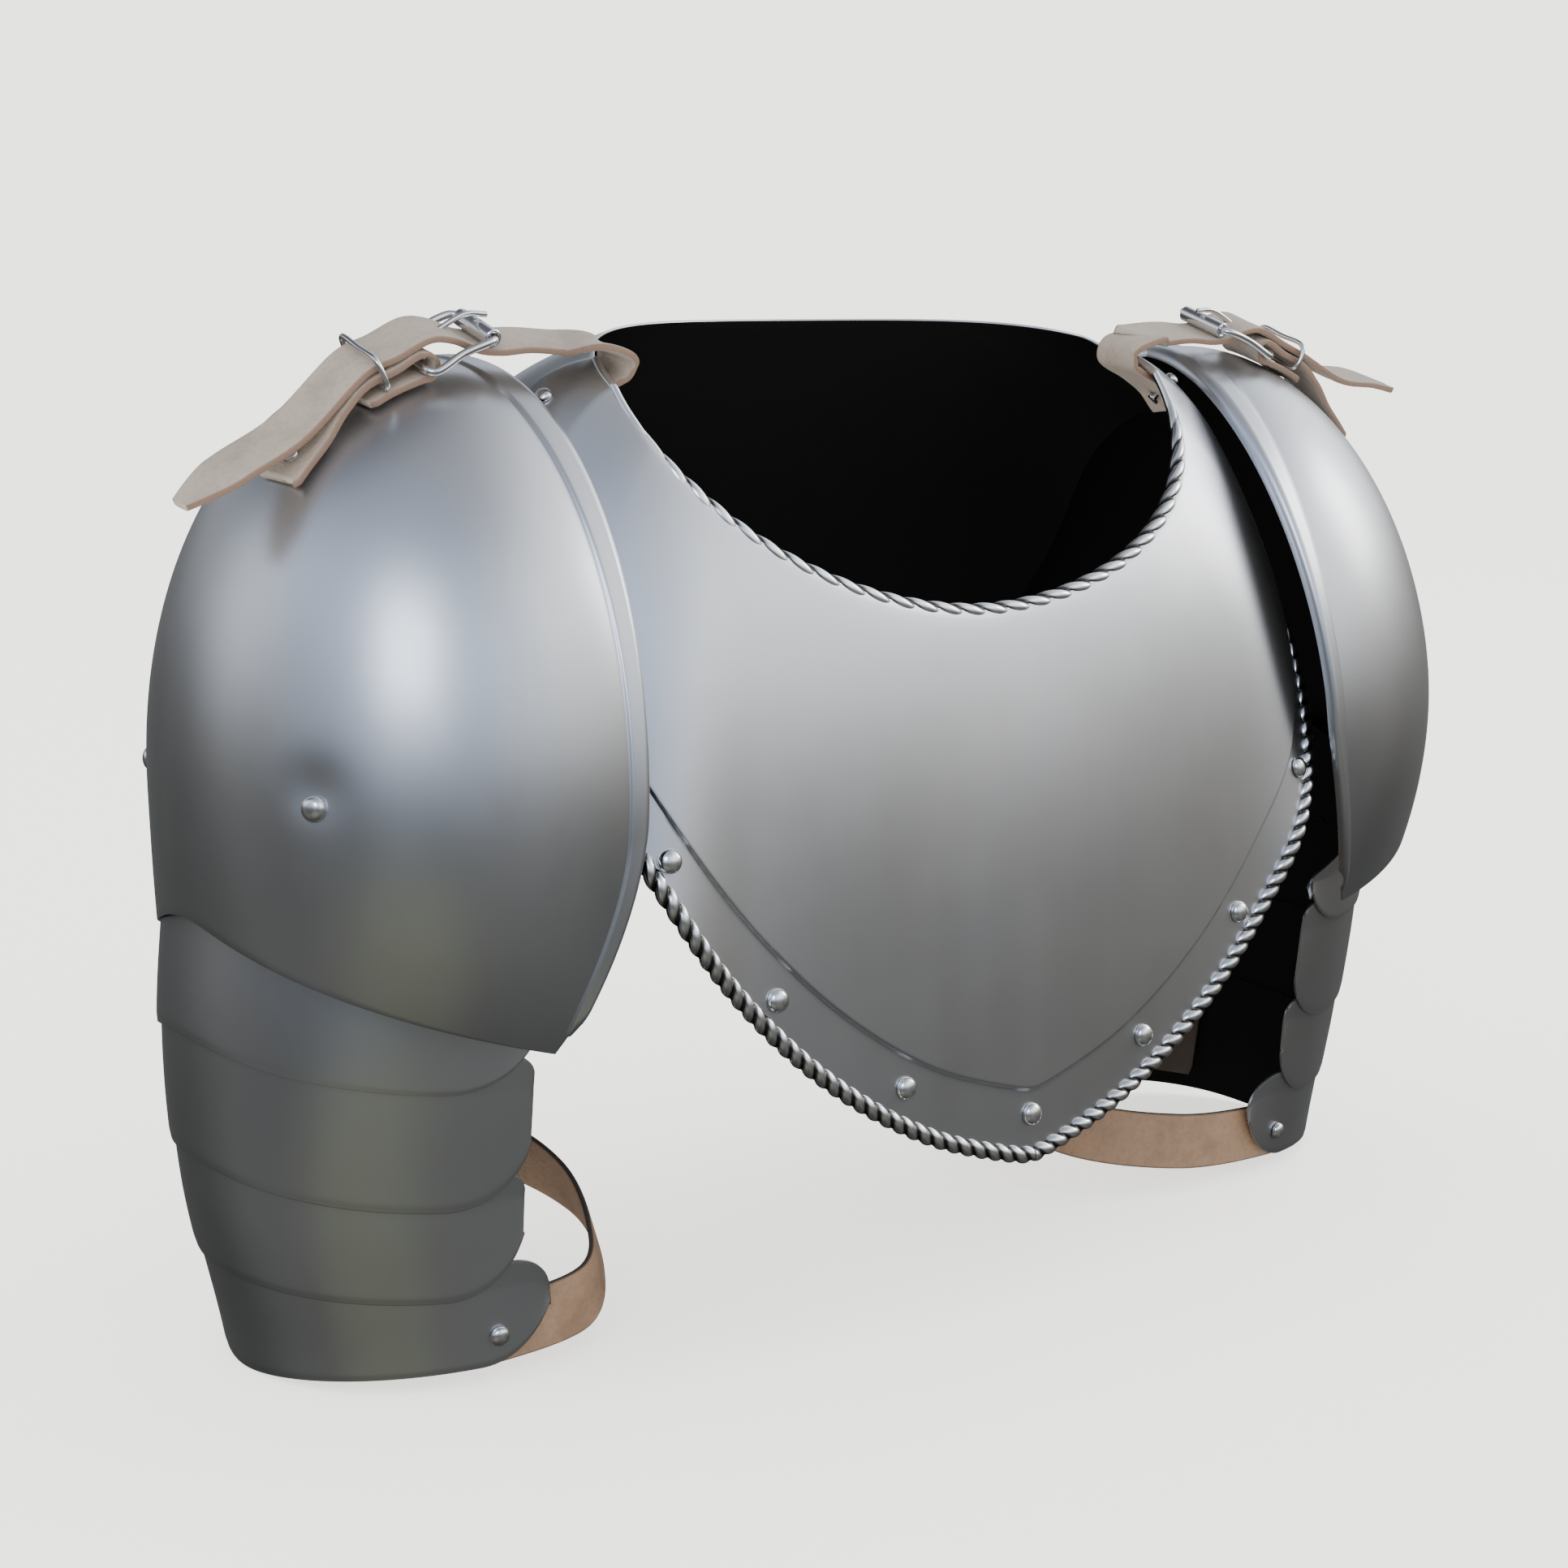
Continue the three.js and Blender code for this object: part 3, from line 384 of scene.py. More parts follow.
def grain_group():
    """Leather: mottled colour, darker cut edges across the strap, pores, creases and rubbed patches."""
    g, gin, gout = new_group("leather_grain", [
        ("Face", "NodeSocketColor", (0.4, 0.3, 0.2, 1)),
        ("Dark", "NodeSocketColor", (0.1, 0.07, 0.05, 1)),
        ("Mottle", "NodeSocketFloat", 0.5), ("Pores", "NodeSocketFloat", 0.5)],
        [("Color", "NodeSocketColor"), ("Roughness", "NodeSocketFloat"), ("Normal", "NodeSocketVector")])
    coords = wire_node(g, "ShaderNodeTexCoord")
    at = coords.outputs["Object"]
    across = wire_node(g, "ShaderNodeSeparateXYZ", Vector=coords.outputs["UV"]).outputs[0]
    blotch = noise(g, at, 45.0, 5.0, 0.6)
    fibre = noise(g, at, 420.0, 4.0, 0.7)
    pores = wire_node(g, "ShaderNodeTexVoronoi", Vector=at, Scale=950.0).outputs["Distance"]
    crease = noise(g, at, 120.0, 3.0, 0.65)
    from_middle = math_node(g, "ABSOLUTE", math_node(g, "SUBTRACT", across, 0.5))
    edge = wire_node(g, "ShaderNodeMapRange", {"interpolation_type": "SMOOTHSTEP"}, Value=from_middle,
                     From_Min=0.455, From_Max=0.499).outputs[0]
    worn = ramp(g, blotch, [(0.35, (0.62, 0.6, 0.58)), (0.5, (1, 1, 1)), (0.7, (1.22, 1.2, 1.18))])
    body = wire_node(g, "ShaderNodeMix", {"data_type": "RGBA", "blend_type": "MULTIPLY"})
    g.links.new(gin.outputs["Mottle"], body.inputs[0])
    g.links.new(gin.outputs["Face"], body.inputs[6])
    g.links.new(worn, body.inputs[7])
    speck = math_node(g, "MULTIPLY", math_node(g, "SUBTRACT", fibre, 0.45), 0.8)
    flecked = mixed(g, math_node(g, "MAXIMUM", speck, 0.0), body.outputs[2], gin.outputs["Dark"])
    g.links.new(mixed(g, edge, flecked, gin.outputs["Dark"]), gout.inputs["Color"])
    rough = math_node(g, "ADD", math_node(g, "MULTIPLY", blotch, 0.3), 0.42)
    g.links.new(rough, gout.inputs["Roughness"])
    dents = math_node(g, "ADD", pores, math_node(g, "MULTIPLY", crease, 1.6))
    bump = wire_node(g, "ShaderNodeBump", Strength=gin.outputs["Pores"], Distance=0.0004, Height=dents)
    g.links.new(bump.outputs[0], gout.inputs["Normal"])
    return g


POLISH = polish_group()
GRAIN = grain_group()


def material(name, group, values, **shader):
    mat = bpy.data.materials.new(name)
    mat.use_nodes = True
    tree = mat.node_tree
    bsdf = tree.nodes["Principled BSDF"]
    for key, value in shader.items():
        bsdf.inputs[key.replace("_", " ")].default_value = value
    n = tree.nodes.new("ShaderNodeGroup")
    n.node_tree = group
    for key, value in values.items():
        n.inputs[key].default_value = value
    for out, socket in (("Color", "Base Color"), ("Roughness", "Roughness"), ("Normal", "Normal")):
        tree.links.new(n.outputs[out], bsdf.inputs[socket])
    return mat


STEEL = material("polished_steel", POLISH, {
    "Tone": (0.57, 0.58, 0.60, 1), "Clouds": 0.45, "Roughness": 0.30, "Waves": 0.10, "Scratches": 0.04},
    Metallic=1.0)
# The plates' inner faces: near-black and nearly unreflecting, painted shade for the dark inside of the
# gorget and the pauldrons.
INSIDE_PAINTED_SHADE = material("inside_painted_shade", POLISH, {
    "Tone": (0.004, 0.004, 0.004, 1), "Clouds": 0.2, "Roughness": 0.62, "Waves": 0.0, "Scratches": 0.1},
    Metallic=0.0, Specular_IOR_Level=0.06)
ROPE_STEEL = material("roped_edge_steel", POLISH, {
    "Tone": (0.80, 0.81, 0.83, 1), "Clouds": 0.15, "Roughness": 0.17, "Waves": 0.0, "Scratches": 0.05},
    Metallic=1.0)
HARDWARE = material("hardware_steel", POLISH, {
    "Tone": (0.80, 0.80, 0.81, 1), "Clouds": 0.1, "Roughness": 0.13, "Waves": 0.0, "Scratches": 0.1},
    Metallic=1.0)
SHOULDER_LEATHER = material("strap_leather", GRAIN, {
    "Face": (0.33, 0.285, 0.245, 1), "Dark": (0.16, 0.10, 0.07, 1), "Mottle": 0.35, "Pores": 0.35})
ARM_STRAP_LEATHER = material("arm_leather", GRAIN, {
    "Face": (0.20, 0.122, 0.072, 1), "Dark": (0.035, 0.024, 0.015, 1), "Mottle": 0.5, "Pores": 0.35})
# Near-black leather for the hangers inside the domes: painted shade for the dark inside, like the
# plates' inner faces.
HANGER_LEATHER_PAINTED_SHADE = material("hanger_leather_painted_shade", GRAIN, {
    "Face": (0.04, 0.026, 0.017, 1), "Dark": (0.03, 0.02, 0.012, 1), "Mottle": 0.5, "Pores": 0.35})



def blacken_grooves(mat):
    """Darker towards the bottom of the rope's grooves: the first UV value is 0 on a strand's crown and 1
    in a groove.
    """
    tree = mat.node_tree
    along = wire_node(tree, "ShaderNodeTexCoord").outputs["UV"]
    deep = wire_node(tree, "ShaderNodeSeparateXYZ", Vector=along).outputs[0]
    groove_dark = wire_node(tree, "ShaderNodeMapRange", {"interpolation_type": "SMOOTHSTEP"}, Value=deep,
                     From_Min=0.12, From_Max=0.62).outputs[0]
    base = tree.nodes["Principled BSDF"].inputs["Base Color"]
    tree.links.new(mixed(tree, groove_dark, base.links[0].from_socket, (0.06, 0.058, 0.052, 1)), base)


blacken_grooves(ROPE_STEEL)

# ---- Gorget -----------------------------------------------------------------------------------


def neck_rim(angle):
    """The neck opening's rim: an arc rising from the chest over the shoulder to the back."""
    a = np.abs(angle)
    c = 1 - np.cos(np.radians(np.minimum(a, 90)))
    s = np.sin(np.radians(np.maximum(a - 90, 0)))
    front = a <= 90
    x = NECK_HALF_WIDTH * np.where(front, np.sin(np.radians(a)), np.cos(np.radians(a - 90)))
    y = np.where(front, mix(NECK_FRONT[0], NECK_SHOULDER[0], c**1.3),
                 mix(NECK_SHOULDER[0], NECK_BACK[0], s))
    z = np.where(front, mix(NECK_FRONT[1], NECK_SHOULDER[1], c**0.95),
                 mix(NECK_SHOULDER[1], NECK_BACK[1], 1 - (1 - s) ** 2))
    return vec(x, y, z)


def outline(angle, soft=0.0):
    """The gorget's outer edge; soft rounds off the chest tip, in degrees."""
    a = np.abs(angle)
    p = uniform_curve(OUTLINE, a / 180)
    q = uniform_curve(OUTLINE, np.minimum(np.hypot(a, soft), 180) / 180)
    return np.concatenate([p[..., :1], q[..., 1:]], -1)


def gorget_point(angle, t):
    """From rim (t 0) to outline (t 1) on a straight line, crowned outwards by a sine of t."""
    angle = np.asarray(angle, float)
    turn = np.where(angle > 180, angle - 360, angle)
    a = np.abs(turn)
    edge = outline(a, 2)
    p = mix(neck_rim(a), edge, np.asarray(t)[..., None])
    crown = unit(vec(np.sin(np.radians(a)), -np.cos(np.radians(a)), 0.35))
    p = p + crown * (CHEST_BULGE * np.sin(np.pi * np.maximum(t, 0) ** 0.8))[..., None]
    p[..., 0] *= np.where(turn < 0, -1, 1)
    return p


def gorget_length(angle):
    a = np.where(angle > 180, 360 - angle, np.abs(angle))
    return np.linalg.norm(outline(a) - neck_rim(a), axis=-1)


def gorget_normal(angle, t):
    down = gorget_point(angle, t + 0.01) - gorget_point(angle, t - 0.01)
    along = gorget_point(angle + 0.5, t) - gorget_point(angle - 0.5, t)
    return unit(np.cross(down, along))


def gorget_front():
    """Rows run from the neck to the outline; the border along the outline lies lower by a crisp step."""
    angle = np.linspace(-FRONT_PLATE_TO, FRONT_PLATE_TO, 281)
    length = gorget_length(angle)
    width = mix(BORDER_TIP, BORDER_SIDE, smooth(np.abs(angle), 12, 45))
    field = np.linspace(0, 1, 44)[:, None] * (length - width - 3)[None, :]
    step = length - width + np.array([-2.6, -2.1, -1.6, -1.1, -0.6, 0.0])[:, None]
    border = length - width * np.linspace(0.94, 0, 12)[:, None]
    d = np.concatenate([field, step, border])
    a = np.broadcast_to(angle, d.shape)
    t = d / length
    sunk = 1 - smooth(np.abs(a), 74, 90)
    lift = BORDER_STEP * sunk * smooth(length - d, width + 0.4, width + 2.2)
    p = gorget_point(a, t) + gorget_normal(a, t) * lift[..., None]
    return plate("gorget_front_plate", p)


def gorget_back():
    angle = np.linspace(BACK_PLATE_FROM, 360 - BACK_PLATE_FROM, 181)
    t, a = np.meshgrid(np.linspace(0, 1, 50), angle, indexing="ij")
    from_end = np.minimum(a, 360 - a) - FRONT_PLATE_TO
    lift = -LAP * (1 - smooth(from_end, 2, 12))
    return plate("gorget_back_plate", gorget_point(a, t) + gorget_normal(a, t) * lift[..., None])


def rope(name, t, reach, fade, node, size, pitch):
    """A turned edge filed into strands: r = R (1 - depth + depth |sin(x / 2)|), where x is the number
    of strands times the angle round the edge, less 2 pi times the distance along it over the pitch,
    mirrored at the middle. The strands fade to a plain thin roll towards the shoulders."""
    angle = np.linspace(-reach, reach, 1401)
    route = gorget_point(angle, np.full_like(angle, t))
    up = gorget_normal(angle, np.full_like(angle, min(max(t, 0.02), 0.98)))
    run = np.concatenate([[0], np.cumsum(np.linalg.norm(np.diff(route, axis=0), axis=1))])
    run = run - np.interp(0, angle, run)
    here = 1 - smooth(np.abs(angle), *fade)
    radius = mix(1.7, size, here)
    hand = np.sign(angle)[:, None]

    def groove(f):
        x = STRANDS * f[None, :] * hand + 2 * np.pi * np.abs(run)[:, None] / pitch
        return here[:, None] * (1 - np.abs(np.sin(x / 2)) ** 0.7)

    p = tube(route, radius, 36, up, pattern=lambda f: 1 - 0.36 * groove(f))
    deep = groove(np.linspace(0, 2 * np.pi, 36, endpoint=False))
    uv = np.stack([deep, np.broadcast_to(run[:, None] / 100, deep.shape)], -1)
    obj = lay(name, p, [ROPE_STEEL], wrap=True, ends=("first", "last"), uv=uv)
    return settle(obj, "polished_steel", node)


# ---- Rivets -----------------------------------------------------------------------------------


def rivet(name, seat, normal, head, grip, hand=1):
    """A low domed head with a flat rim, its shank and an inner washer, turned about the normal."""
    f = np.linspace(0, np.pi / 2, 9)
    profile = [(0.01, -grip - 1.2), (head * 0.72, -grip - 1.2),
               (head * 0.8, -grip - 0.9), (head * 0.8, -grip),
               (RIVET_SHANK, -grip), (RIVET_SHANK, 0), (head * 0.9, 0), (head, 0.25), (head, 0.5)]
    profile += [(max(head * 0.97 * math.cos(k), 0.01), 0.5 + head * 0.6 * math.sin(k)) for k in f]
    prof = np.array(profile)
    n = unit(np.asarray(normal, float))
    side = unit(np.cross(n, (0, 0, 1) if abs(n[2]) < 0.9 else (1, 0, 0)))
    other = np.cross(n, side)
    turn = np.linspace(0, 2 * np.pi, 32, endpoint=False)
    ring = np.cos(turn)[:, None] * side + np.sin(turn)[:, None] * other
    p = np.asarray(seat) + prof[:, :1, None] * ring[None] + prof[:, 1:, None] * n
    obj = lay(name, p, [HARDWARE], hand, wrap=True, ends=("first", "last"), sharp=50)
    return settle(obj, "hardware_steel", name.replace("_head", ""))


def on_plate(point, normal, under, clear=GAP + 0.8):
    """Seat and grip of a rivet whose plate's mid surface is at the point."""
    return point + normal * (PLATE / 2 + 0.1), PLATE / 2 + clear + under


# ---- Pauldrons --------------------------------------------------------------------------------


def dome_lean(z):
    """How far the dome's section at a height has moved back at the top, and back at the foot."""
    top = DOME_TOP_LEAN * (z + np.hypot(z, 24)) / 2
    return top + DOME_FOOT_LEAN * (np.minimum(z, 0) / DOME_FOOT) ** 2


def dome_surface(direction):
    """A direction pushed out to the leaning ellipsoid."""
    x, y, z = np.moveaxis(direction, -1, 0)
    depth = np.where(z > 0, DOME_HEIGHT, DOME_DEPTH)
    spread = np.where(y > 0, DOME_BACK_RADIUS, DOME_RADIUS)
    size = np.sqrt((x / DOME_RADIUS) ** 2 + (y / spread) ** 2 + (z / depth) ** 2)
    p = direction / size[..., None]
    p[..., 1] += dome_lean(p[..., 2])
    return p + DOME


def dome_rivet_seat(face):
    """Where a dome rivet goes through the plate: face is -1 in front and 1 behind."""
    return dome_surface(np.array([(DOME_RIVET[0], face * DOME_RIVET[1], DOME_RIVET[2])], float))[0]


def dome_arch(s):
    """Inner edge direction: half an ellipse over the shoulder, then straight down front and back."""
    a, side = np.abs(s), np.sign(s)
    spread = np.where(side > 0, DOME_BACK_RADIUS, DOME_RADIUS) * 0.98
    turn = np.radians(90 * np.minimum(a, 0.72) / 0.72)
    t = np.maximum(a - 0.72, 0) / 0.28
    x = -22 - 6 * np.sin(2 * turn) + 23 * t**1.3
    return vec(x, side * spread * np.sin(turn) ** ARCH_POINT, DOME_HEIGHT * 0.98 * np.cos(turn) - 78 * t)


def dome_foot(s):
    angle = 88 * s
    spread = np.where(s > 0, DOME_BACK_RADIUS, DOME_RADIUS)
    z = DOME_EDGE_LOW - DOME[2] - DOME_EDGE_SLOPE * np.hypot(angle, 8)
    return vec(DOME_RADIUS * np.cos(np.radians(angle)), spread * np.sin(np.radians(angle)), z)


def dome_point(s, t):
    """t turns steadily from the arch's direction to the foot's direction."""
    a, b = unit(dome_arch(s)), unit(dome_foot(s))
    turn = np.arccos(np.clip((a * b).sum(-1), -1, 1))
    p = np.sin((1 - t) * turn)[..., None] * a + np.sin(t * turn)[..., None] * b
    return dome_surface(p)


# Section of the turned inner edge: distance from the edge against height above the dome.
BAND = np.array([(0, -0.6), (0.6, 0.9), (1.6, 2.1), (3.2, 2.9), (5, 3.0), (6.2, 2.7), (10, 1.9),
                 (12.4, 1.4), (13.2, 0.7), (14, 0.1), (15.5, 0)])


def shoulder_dome(side, hand):
    """Rows run from the inner edge to the foot; the first 14 mm are the raised, turned band."""
    s = np.linspace(-0.975, 0.975, 221)
    fine = np.linspace(0, 1, 41)
    sampled = dome_point(s[None, :] + 0 * fine[:, None], fine[:, None] + 0 * s)
    length = np.linalg.norm(np.diff(sampled, axis=0), axis=-1).sum(0)
    band = np.concatenate([np.linspace(a, b, n, endpoint=False) for a, b, n in
                           ((0, 1.6, 4), (1.6, 6.2, 7), (6.2, 12, 5), (12, 16, 9))])
    scale = np.minimum(1, length * 0.7 / 16)
    field = mix(16 * scale, length, np.linspace(0, 1, 70)[:, None] ** 1.05)
    d = np.concatenate([band[:, None] * scale, field])
    t = d / length
    grid_s = np.broadcast_to(s, d.shape)
    p = dome_point(grid_s, t)
    n = surface_normals(p)
    lift = np.interp(d / scale, BAND[:, 0], BAND[:, 1]) * scale**2
    seat = dome_rivet_seat(-1)
    dent = -1.3 * np.exp(-(np.linalg.norm(p - seat - (0, 0, 6), axis=-1) / 10) ** 2)
    return plate(f"{side}_shoulder_dome_plate", p + n * (lift + dent)[..., None], hand)


def arm_point(angle, z, inset=0.0):
    """An ellipse round the upper arm, its half widths running smoothly through the levels."""
    c, s = np.cos(np.radians(angle)), np.sin(np.radians(angle))
    level = -np.asarray(z, float)
    knots = -np.array(LAME_LEVELS, float)
    out = hermite(level, knots, LAME_OUT) - inset
    front, back = hermite(level, knots, LAME_FRONT), hermite(level, knots, LAME_BACK)
    deep = np.where(s < 0, front, back) - inset
    return vec(ARM[0] + out * c, ARM[1] + deep * s, z)


def arm_normal(angle, z):
    around = arm_point(angle + 0.5, z) - arm_point(angle - 0.5, z)
    down = arm_point(angle, z - 0.5) - arm_point(angle, z + 0.5)
    return unit(np.cross(down, around))


def lame_edge(k, angle):
    low, drop, rear, _ = LAMES[k]
    s = np.sin(np.radians(angle))
    return low + mix(drop, rear, 0.5 + 0.5 * np.tanh(s / 0.3)) * np.hypot(s, 0.15)


def dome_edge(angle):
    return DOME_EDGE_LOW - DOME_EDGE_SLOPE * np.hypot(angle, 8)


def lame(k, side, hand):
    """A band between its hidden top and its lower edge, with rounded lower corners; the top lies
    inside the plate above, and the lower edge is turned in a little."""
    reach = LAMES[k][3]
    u = np.linspace(-1, 1, 141)
    angle = reach * np.sign(u) * (1 - (1 - np.abs(u)) ** 1.25)
    t = 1 - (1 - np.linspace(0, 1, 40)) ** 1.2
    top = (dome_edge(angle) if k == 0 else lame_edge(k - 1, angle)) + LAME_LAP
    from_end = np.radians(reach - np.abs(angle)) * LAME_FRONT[2]
    d = np.clip(LAME_CORNER - from_end, 0, LAME_CORNER)
    rise = LAME_CORNER - np.sqrt(LAME_CORNER**2 - d**2 * 0.98)
    upper = LAME_TOP_CORNER[k]
    top = top - upper + np.sqrt(upper**2 - 0.98 * np.clip(upper - from_end, 0, upper) ** 2)
    low = lame_edge(k, angle) + np.minimum(rise, (top - lame_edge(k, angle)) * 0.75)
    z = mix(top[None], low[None], t[:, None])
    tuck = LAME_TUCK - 1.7 * np.maximum(0, (t - 0.25) / 0.75) + 0.3 * smooth(t, 0.94, 1.0)
    p = arm_point(np.broadcast_to(angle, z.shape), z, tuck[:, None])
    return plate(f"{side}_lame_{k + 1}_plate", p, hand)


# ---- Leathers ---------------------------------------------------------------------------------


def strap_y(x):
    return -49 - 0.03 * (x - 180)


LEAN = unit(np.array((0, 1, 0.32)))
LEAF = PLATE / 2 + GAP + 0.5 + LEATHER / 2
LEAF_SPREAD = LEATHER + 2 * KEEPER_WIRE + 1.4
BAR_FOLD = LEATHER / 2 + WIRE + GAP + 0.9
FRAME_HALF = STRAP_WIDTH / 2 + 3.4


def on_strap(x, z, aside=0.0):
    return np.array((x, strap_y(x), z), float) + LEAN * aside


def dome_height(x):
    """Height of the dome under the strap line, by repeating the ellipsoid's equation."""
    z = DOME_HEIGHT
    for _ in range(5):
        y = strap_y(x) - DOME[1] - DOME_TOP_LEAN * z
        z = DOME_HEIGHT * math.sqrt(1 - ((x - DOME[0]) ** 2 + y**2) / DOME_RADIUS**2)
    return DOME[2] + z


def leaf_point(x, layer, extra=0.0):
    slope = dome_height(x + 1) - dome_height(x)
    rise = (LEAF + layer * LEAF_SPREAD + extra) / math.hypot(slope, 1)
    return on_strap(x - slope * rise, dome_height(x) + rise)


BAR_Z = dome_height(BAR_X) + LEAF + BAR_FOLD
UNDER_ROLLER_Z = ROLLER_Z - ROLLER_RADIUS - GAP - LEATHER / 2


def round_bar(radius, degrees):
    """A point at a radius round the buckle's bar, measured from the outer side upwards."""
    a = math.radians(degrees)
    return on_strap(BAR_X + radius * math.cos(a), BAR_Z + radius * math.sin(a))


def strap(name, route, across, width, depth, mat, slot, hand, count=160, crown=0.0, fray=0.0):
    """A leather strap along a route; width is a function of the share of its length, and fray is how
    ragged its far end is."""
    centre, side = flow(route, count, extra=across)
    t = np.linspace(0, 1, count)
    p, uv = ribbon_points(centre, side, width(t), np.full(count, depth), crown)
    ahead = unit(np.gradient(centre, axis=0))
    if fray:
        edge = np.interp(uv[0, :, 0], np.linspace(0, 1, 15), rng.normal(0, fray, 15))
        p += ahead[:, None] * (edge[None, :] * smooth(t, 0.8, 1)[:, None])[..., None]
    obj = lay(name, p, [mat], hand, wrap=True, ends=("first", "last"), uv=uv)
    return settle(obj, slot, name.replace("_leather", ""))


def even(width):
    """An even width with the last 2% of each end eased in."""
    return lambda t: width * (1 - 0.12 * (1 - smooth(np.minimum(t, 1 - t), 0, 0.02)))


def lame_hanger(side, hand, face):
    label = "front" if face < 0 else "rear"
    seat = dome_rivet_seat(face)
    inward = unit(np.array((DOME[0] - seat[0], DOME[1] - seat[1], 0)))
    start = seat + inward * (PLATE / 2 + GAP + 2.6 + HANGER_DEPTH / 2)
    top = np.cross((0, 0, 1), inward)
    levels = np.array((-126, -165, -210, -255, -298), float)
    inset = PLATE / 2 + LAME_TUCK + GAP + 1.4 + HANGER_DEPTH / 2
    low = arm_point(np.full(5, face * HANGER_ANGLE), levels, inset)
    across = np.cross(arm_normal(np.full(5, face * HANGER_ANGLE), levels), (0, 0, 1))
    route = np.vstack([start + (0, 0, 11), start - (0, 0, 11), low])
    # The hanger takes the near-black leather, which is painted shade.
    strap(f"{side}_{label}_hanger_leather", route, np.vstack([top, top, across]), even(HANGER_WIDTH),
          HANGER_DEPTH, HANGER_LEATHER_PAINTED_SHADE, "arm_leather", hand)


ARM_STRAP_INSET = PLATE / 2 + LAME_TUCK + GAP + 0.4 + ARM_LEATHER / 2


def arm_strap(side, hand):
    angle, z = ARM_STRAP_RIVET
    inner = ARM_STRAP_REACH[side]

    def end(a, more=0.0):
        return arm_point(np.array(a, float), np.array(float(z)), ARM_STRAP_INSET + more)

    route = [end(-angle + 8), end(-angle - 1, 0.6), (mix(ARM[0], inner, 0.45), -82, z + 4),
             (inner + 12, -55, z + 11), (inner, -14, z + 22), (inner + 14, 28, z + 31),
             (mix(ARM[0], inner, 0.4), 50, z + 18), end(angle + 1, 0.6), end(angle - 8)]
    across = [(lean, 0, 1) for lean in (0, 0, 0.1, 0.28, 0.3, 0.1, -0.1, 0, 0)]
    strap(f"{side}_arm_strap_leather", route, across, even(ARM_STRAP_WIDTH), ARM_LEATHER,
          ARM_STRAP_LEATHER, "arm_leather", hand, 240)


def collar_strap(side, hand):
    lift = TAIL_LIFT[side]

    def along(t):
        return gorget_point(np.array(COLLAR_ANGLE), np.array(t))

    def out(t):
        return gorget_normal(np.array(COLLAR_ANGLE), np.array(t))

    under = PLATE / 2 + LAP + PLATE + GAP + 1.3 + LEATHER / 2
    inward = unit(along(0.0) - along(0.3))
    rim = along(0.0)
    route = [along(t) - out(t) * under for t in (0.62, 0.4, 0.18)]
    route += [rim + out(0.1) * up + inward * more for up, more in ((-4.6, 5.5), (1.5, 8), (8, 2.5))]
    route += [on_strap(150, 70), on_strap(168, 71), on_strap(ROLLER_X - 4, UNDER_ROLLER_Z),
              on_strap(ROLLER_X + 5, UNDER_ROLLER_Z + 0.8), on_strap(200, 74.5), on_strap(209, 75)]
    route += [leaf_point(x, 1, LEATHER + 1) for x in (KEEPER_X - 7, KEEPER_X + 3)]
    route += [on_strap(x, z + share * lift) for x, z, share in TAIL]
    across = [(0, 1, 0.12) if k < 6 else LEAN for k in range(len(route))]

    def width(t):
        return STRAP_WIDTH * mix(1, 0.35, np.clip((t - 0.92) / 0.08, 0, 1) ** 1.4)

    strap(f"{side}_collar_strap_leather", route, across, width, LEATHER, SHOULDER_LEATHER,
          "strap_leather", hand, 320, crown=0.35)


def buckle_strap(side, hand):
    turn = [round_bar(BAR_FOLD, a) for a in (80, 130, 180, -130, -80)]
    long = [leaf_point(x, layer)
            for x, layer in ((264, 0), (258, 0), (250, 0.1), (241, 0.6), (232, 1), (221, 1))]
    short = [leaf_point(x, 0) for x in (221, 227, 234)]
    route = (long + turn + short)[::-1]
    strap(f"{side}_buckle_strap_leather", route, [LEAN] * len(route), even(STRAP_WIDTH), LEATHER,
          SHOULDER_LEATHER, "strap_leather", hand, 220, fray=1.3)


# ---- Buckles ----------------------------------------------------------------------------------


def bent_wire(name, route, radius, hand, closed, node, count=160):
    """Wire of one thickness along a smooth route; a closed ring is welded at its seam."""
    centre, _ = flow(route, count, closed)
    up = np.broadcast_to(np.array((0.15, -0.3, 1.0)), centre.shape)
    p = tube(centre, radius, 16, up, closed)
    if closed:
        p = np.concatenate([p, p[:1]])
    obj = lay(name, p, [HARDWARE], hand, wrap=True, ends=() if closed else ("first", "last"))
    if closed:
        weld = obj.modifiers.new("weld", "WELD")
        weld.merge_threshold = 0.00001
    return settle(obj, "hardware_steel", node)


def buckle_frame(side, hand):
    corner = 2.5
    route = []
    for half in (1, -1):
        run = [on_strap(ROLLER_X, ROLLER_Z, half * k * FRAME_HALF) for k in (0.2, 0.6, 0.84)]
        run.append(on_strap(ROLLER_X + corner, ROLLER_Z, half * FRAME_HALF))
        run.append(on_strap((ROLLER_X + BAR_X) / 2, (ROLLER_Z + BAR_Z) / 2 + 1, half * FRAME_HALF))
        run.append(on_strap(BAR_X - corner, BAR_Z, half * FRAME_HALF))
        run += [on_strap(BAR_X, BAR_Z, half * k * FRAME_HALF) for k in (0.84, 0.6, 0.2)]
        route += run if half > 0 else run[::-1]
    bent_wire(f"{side}_buckle_frame_wire", route, WIRE, hand, True, f"{side}_buckle_frame", 240)


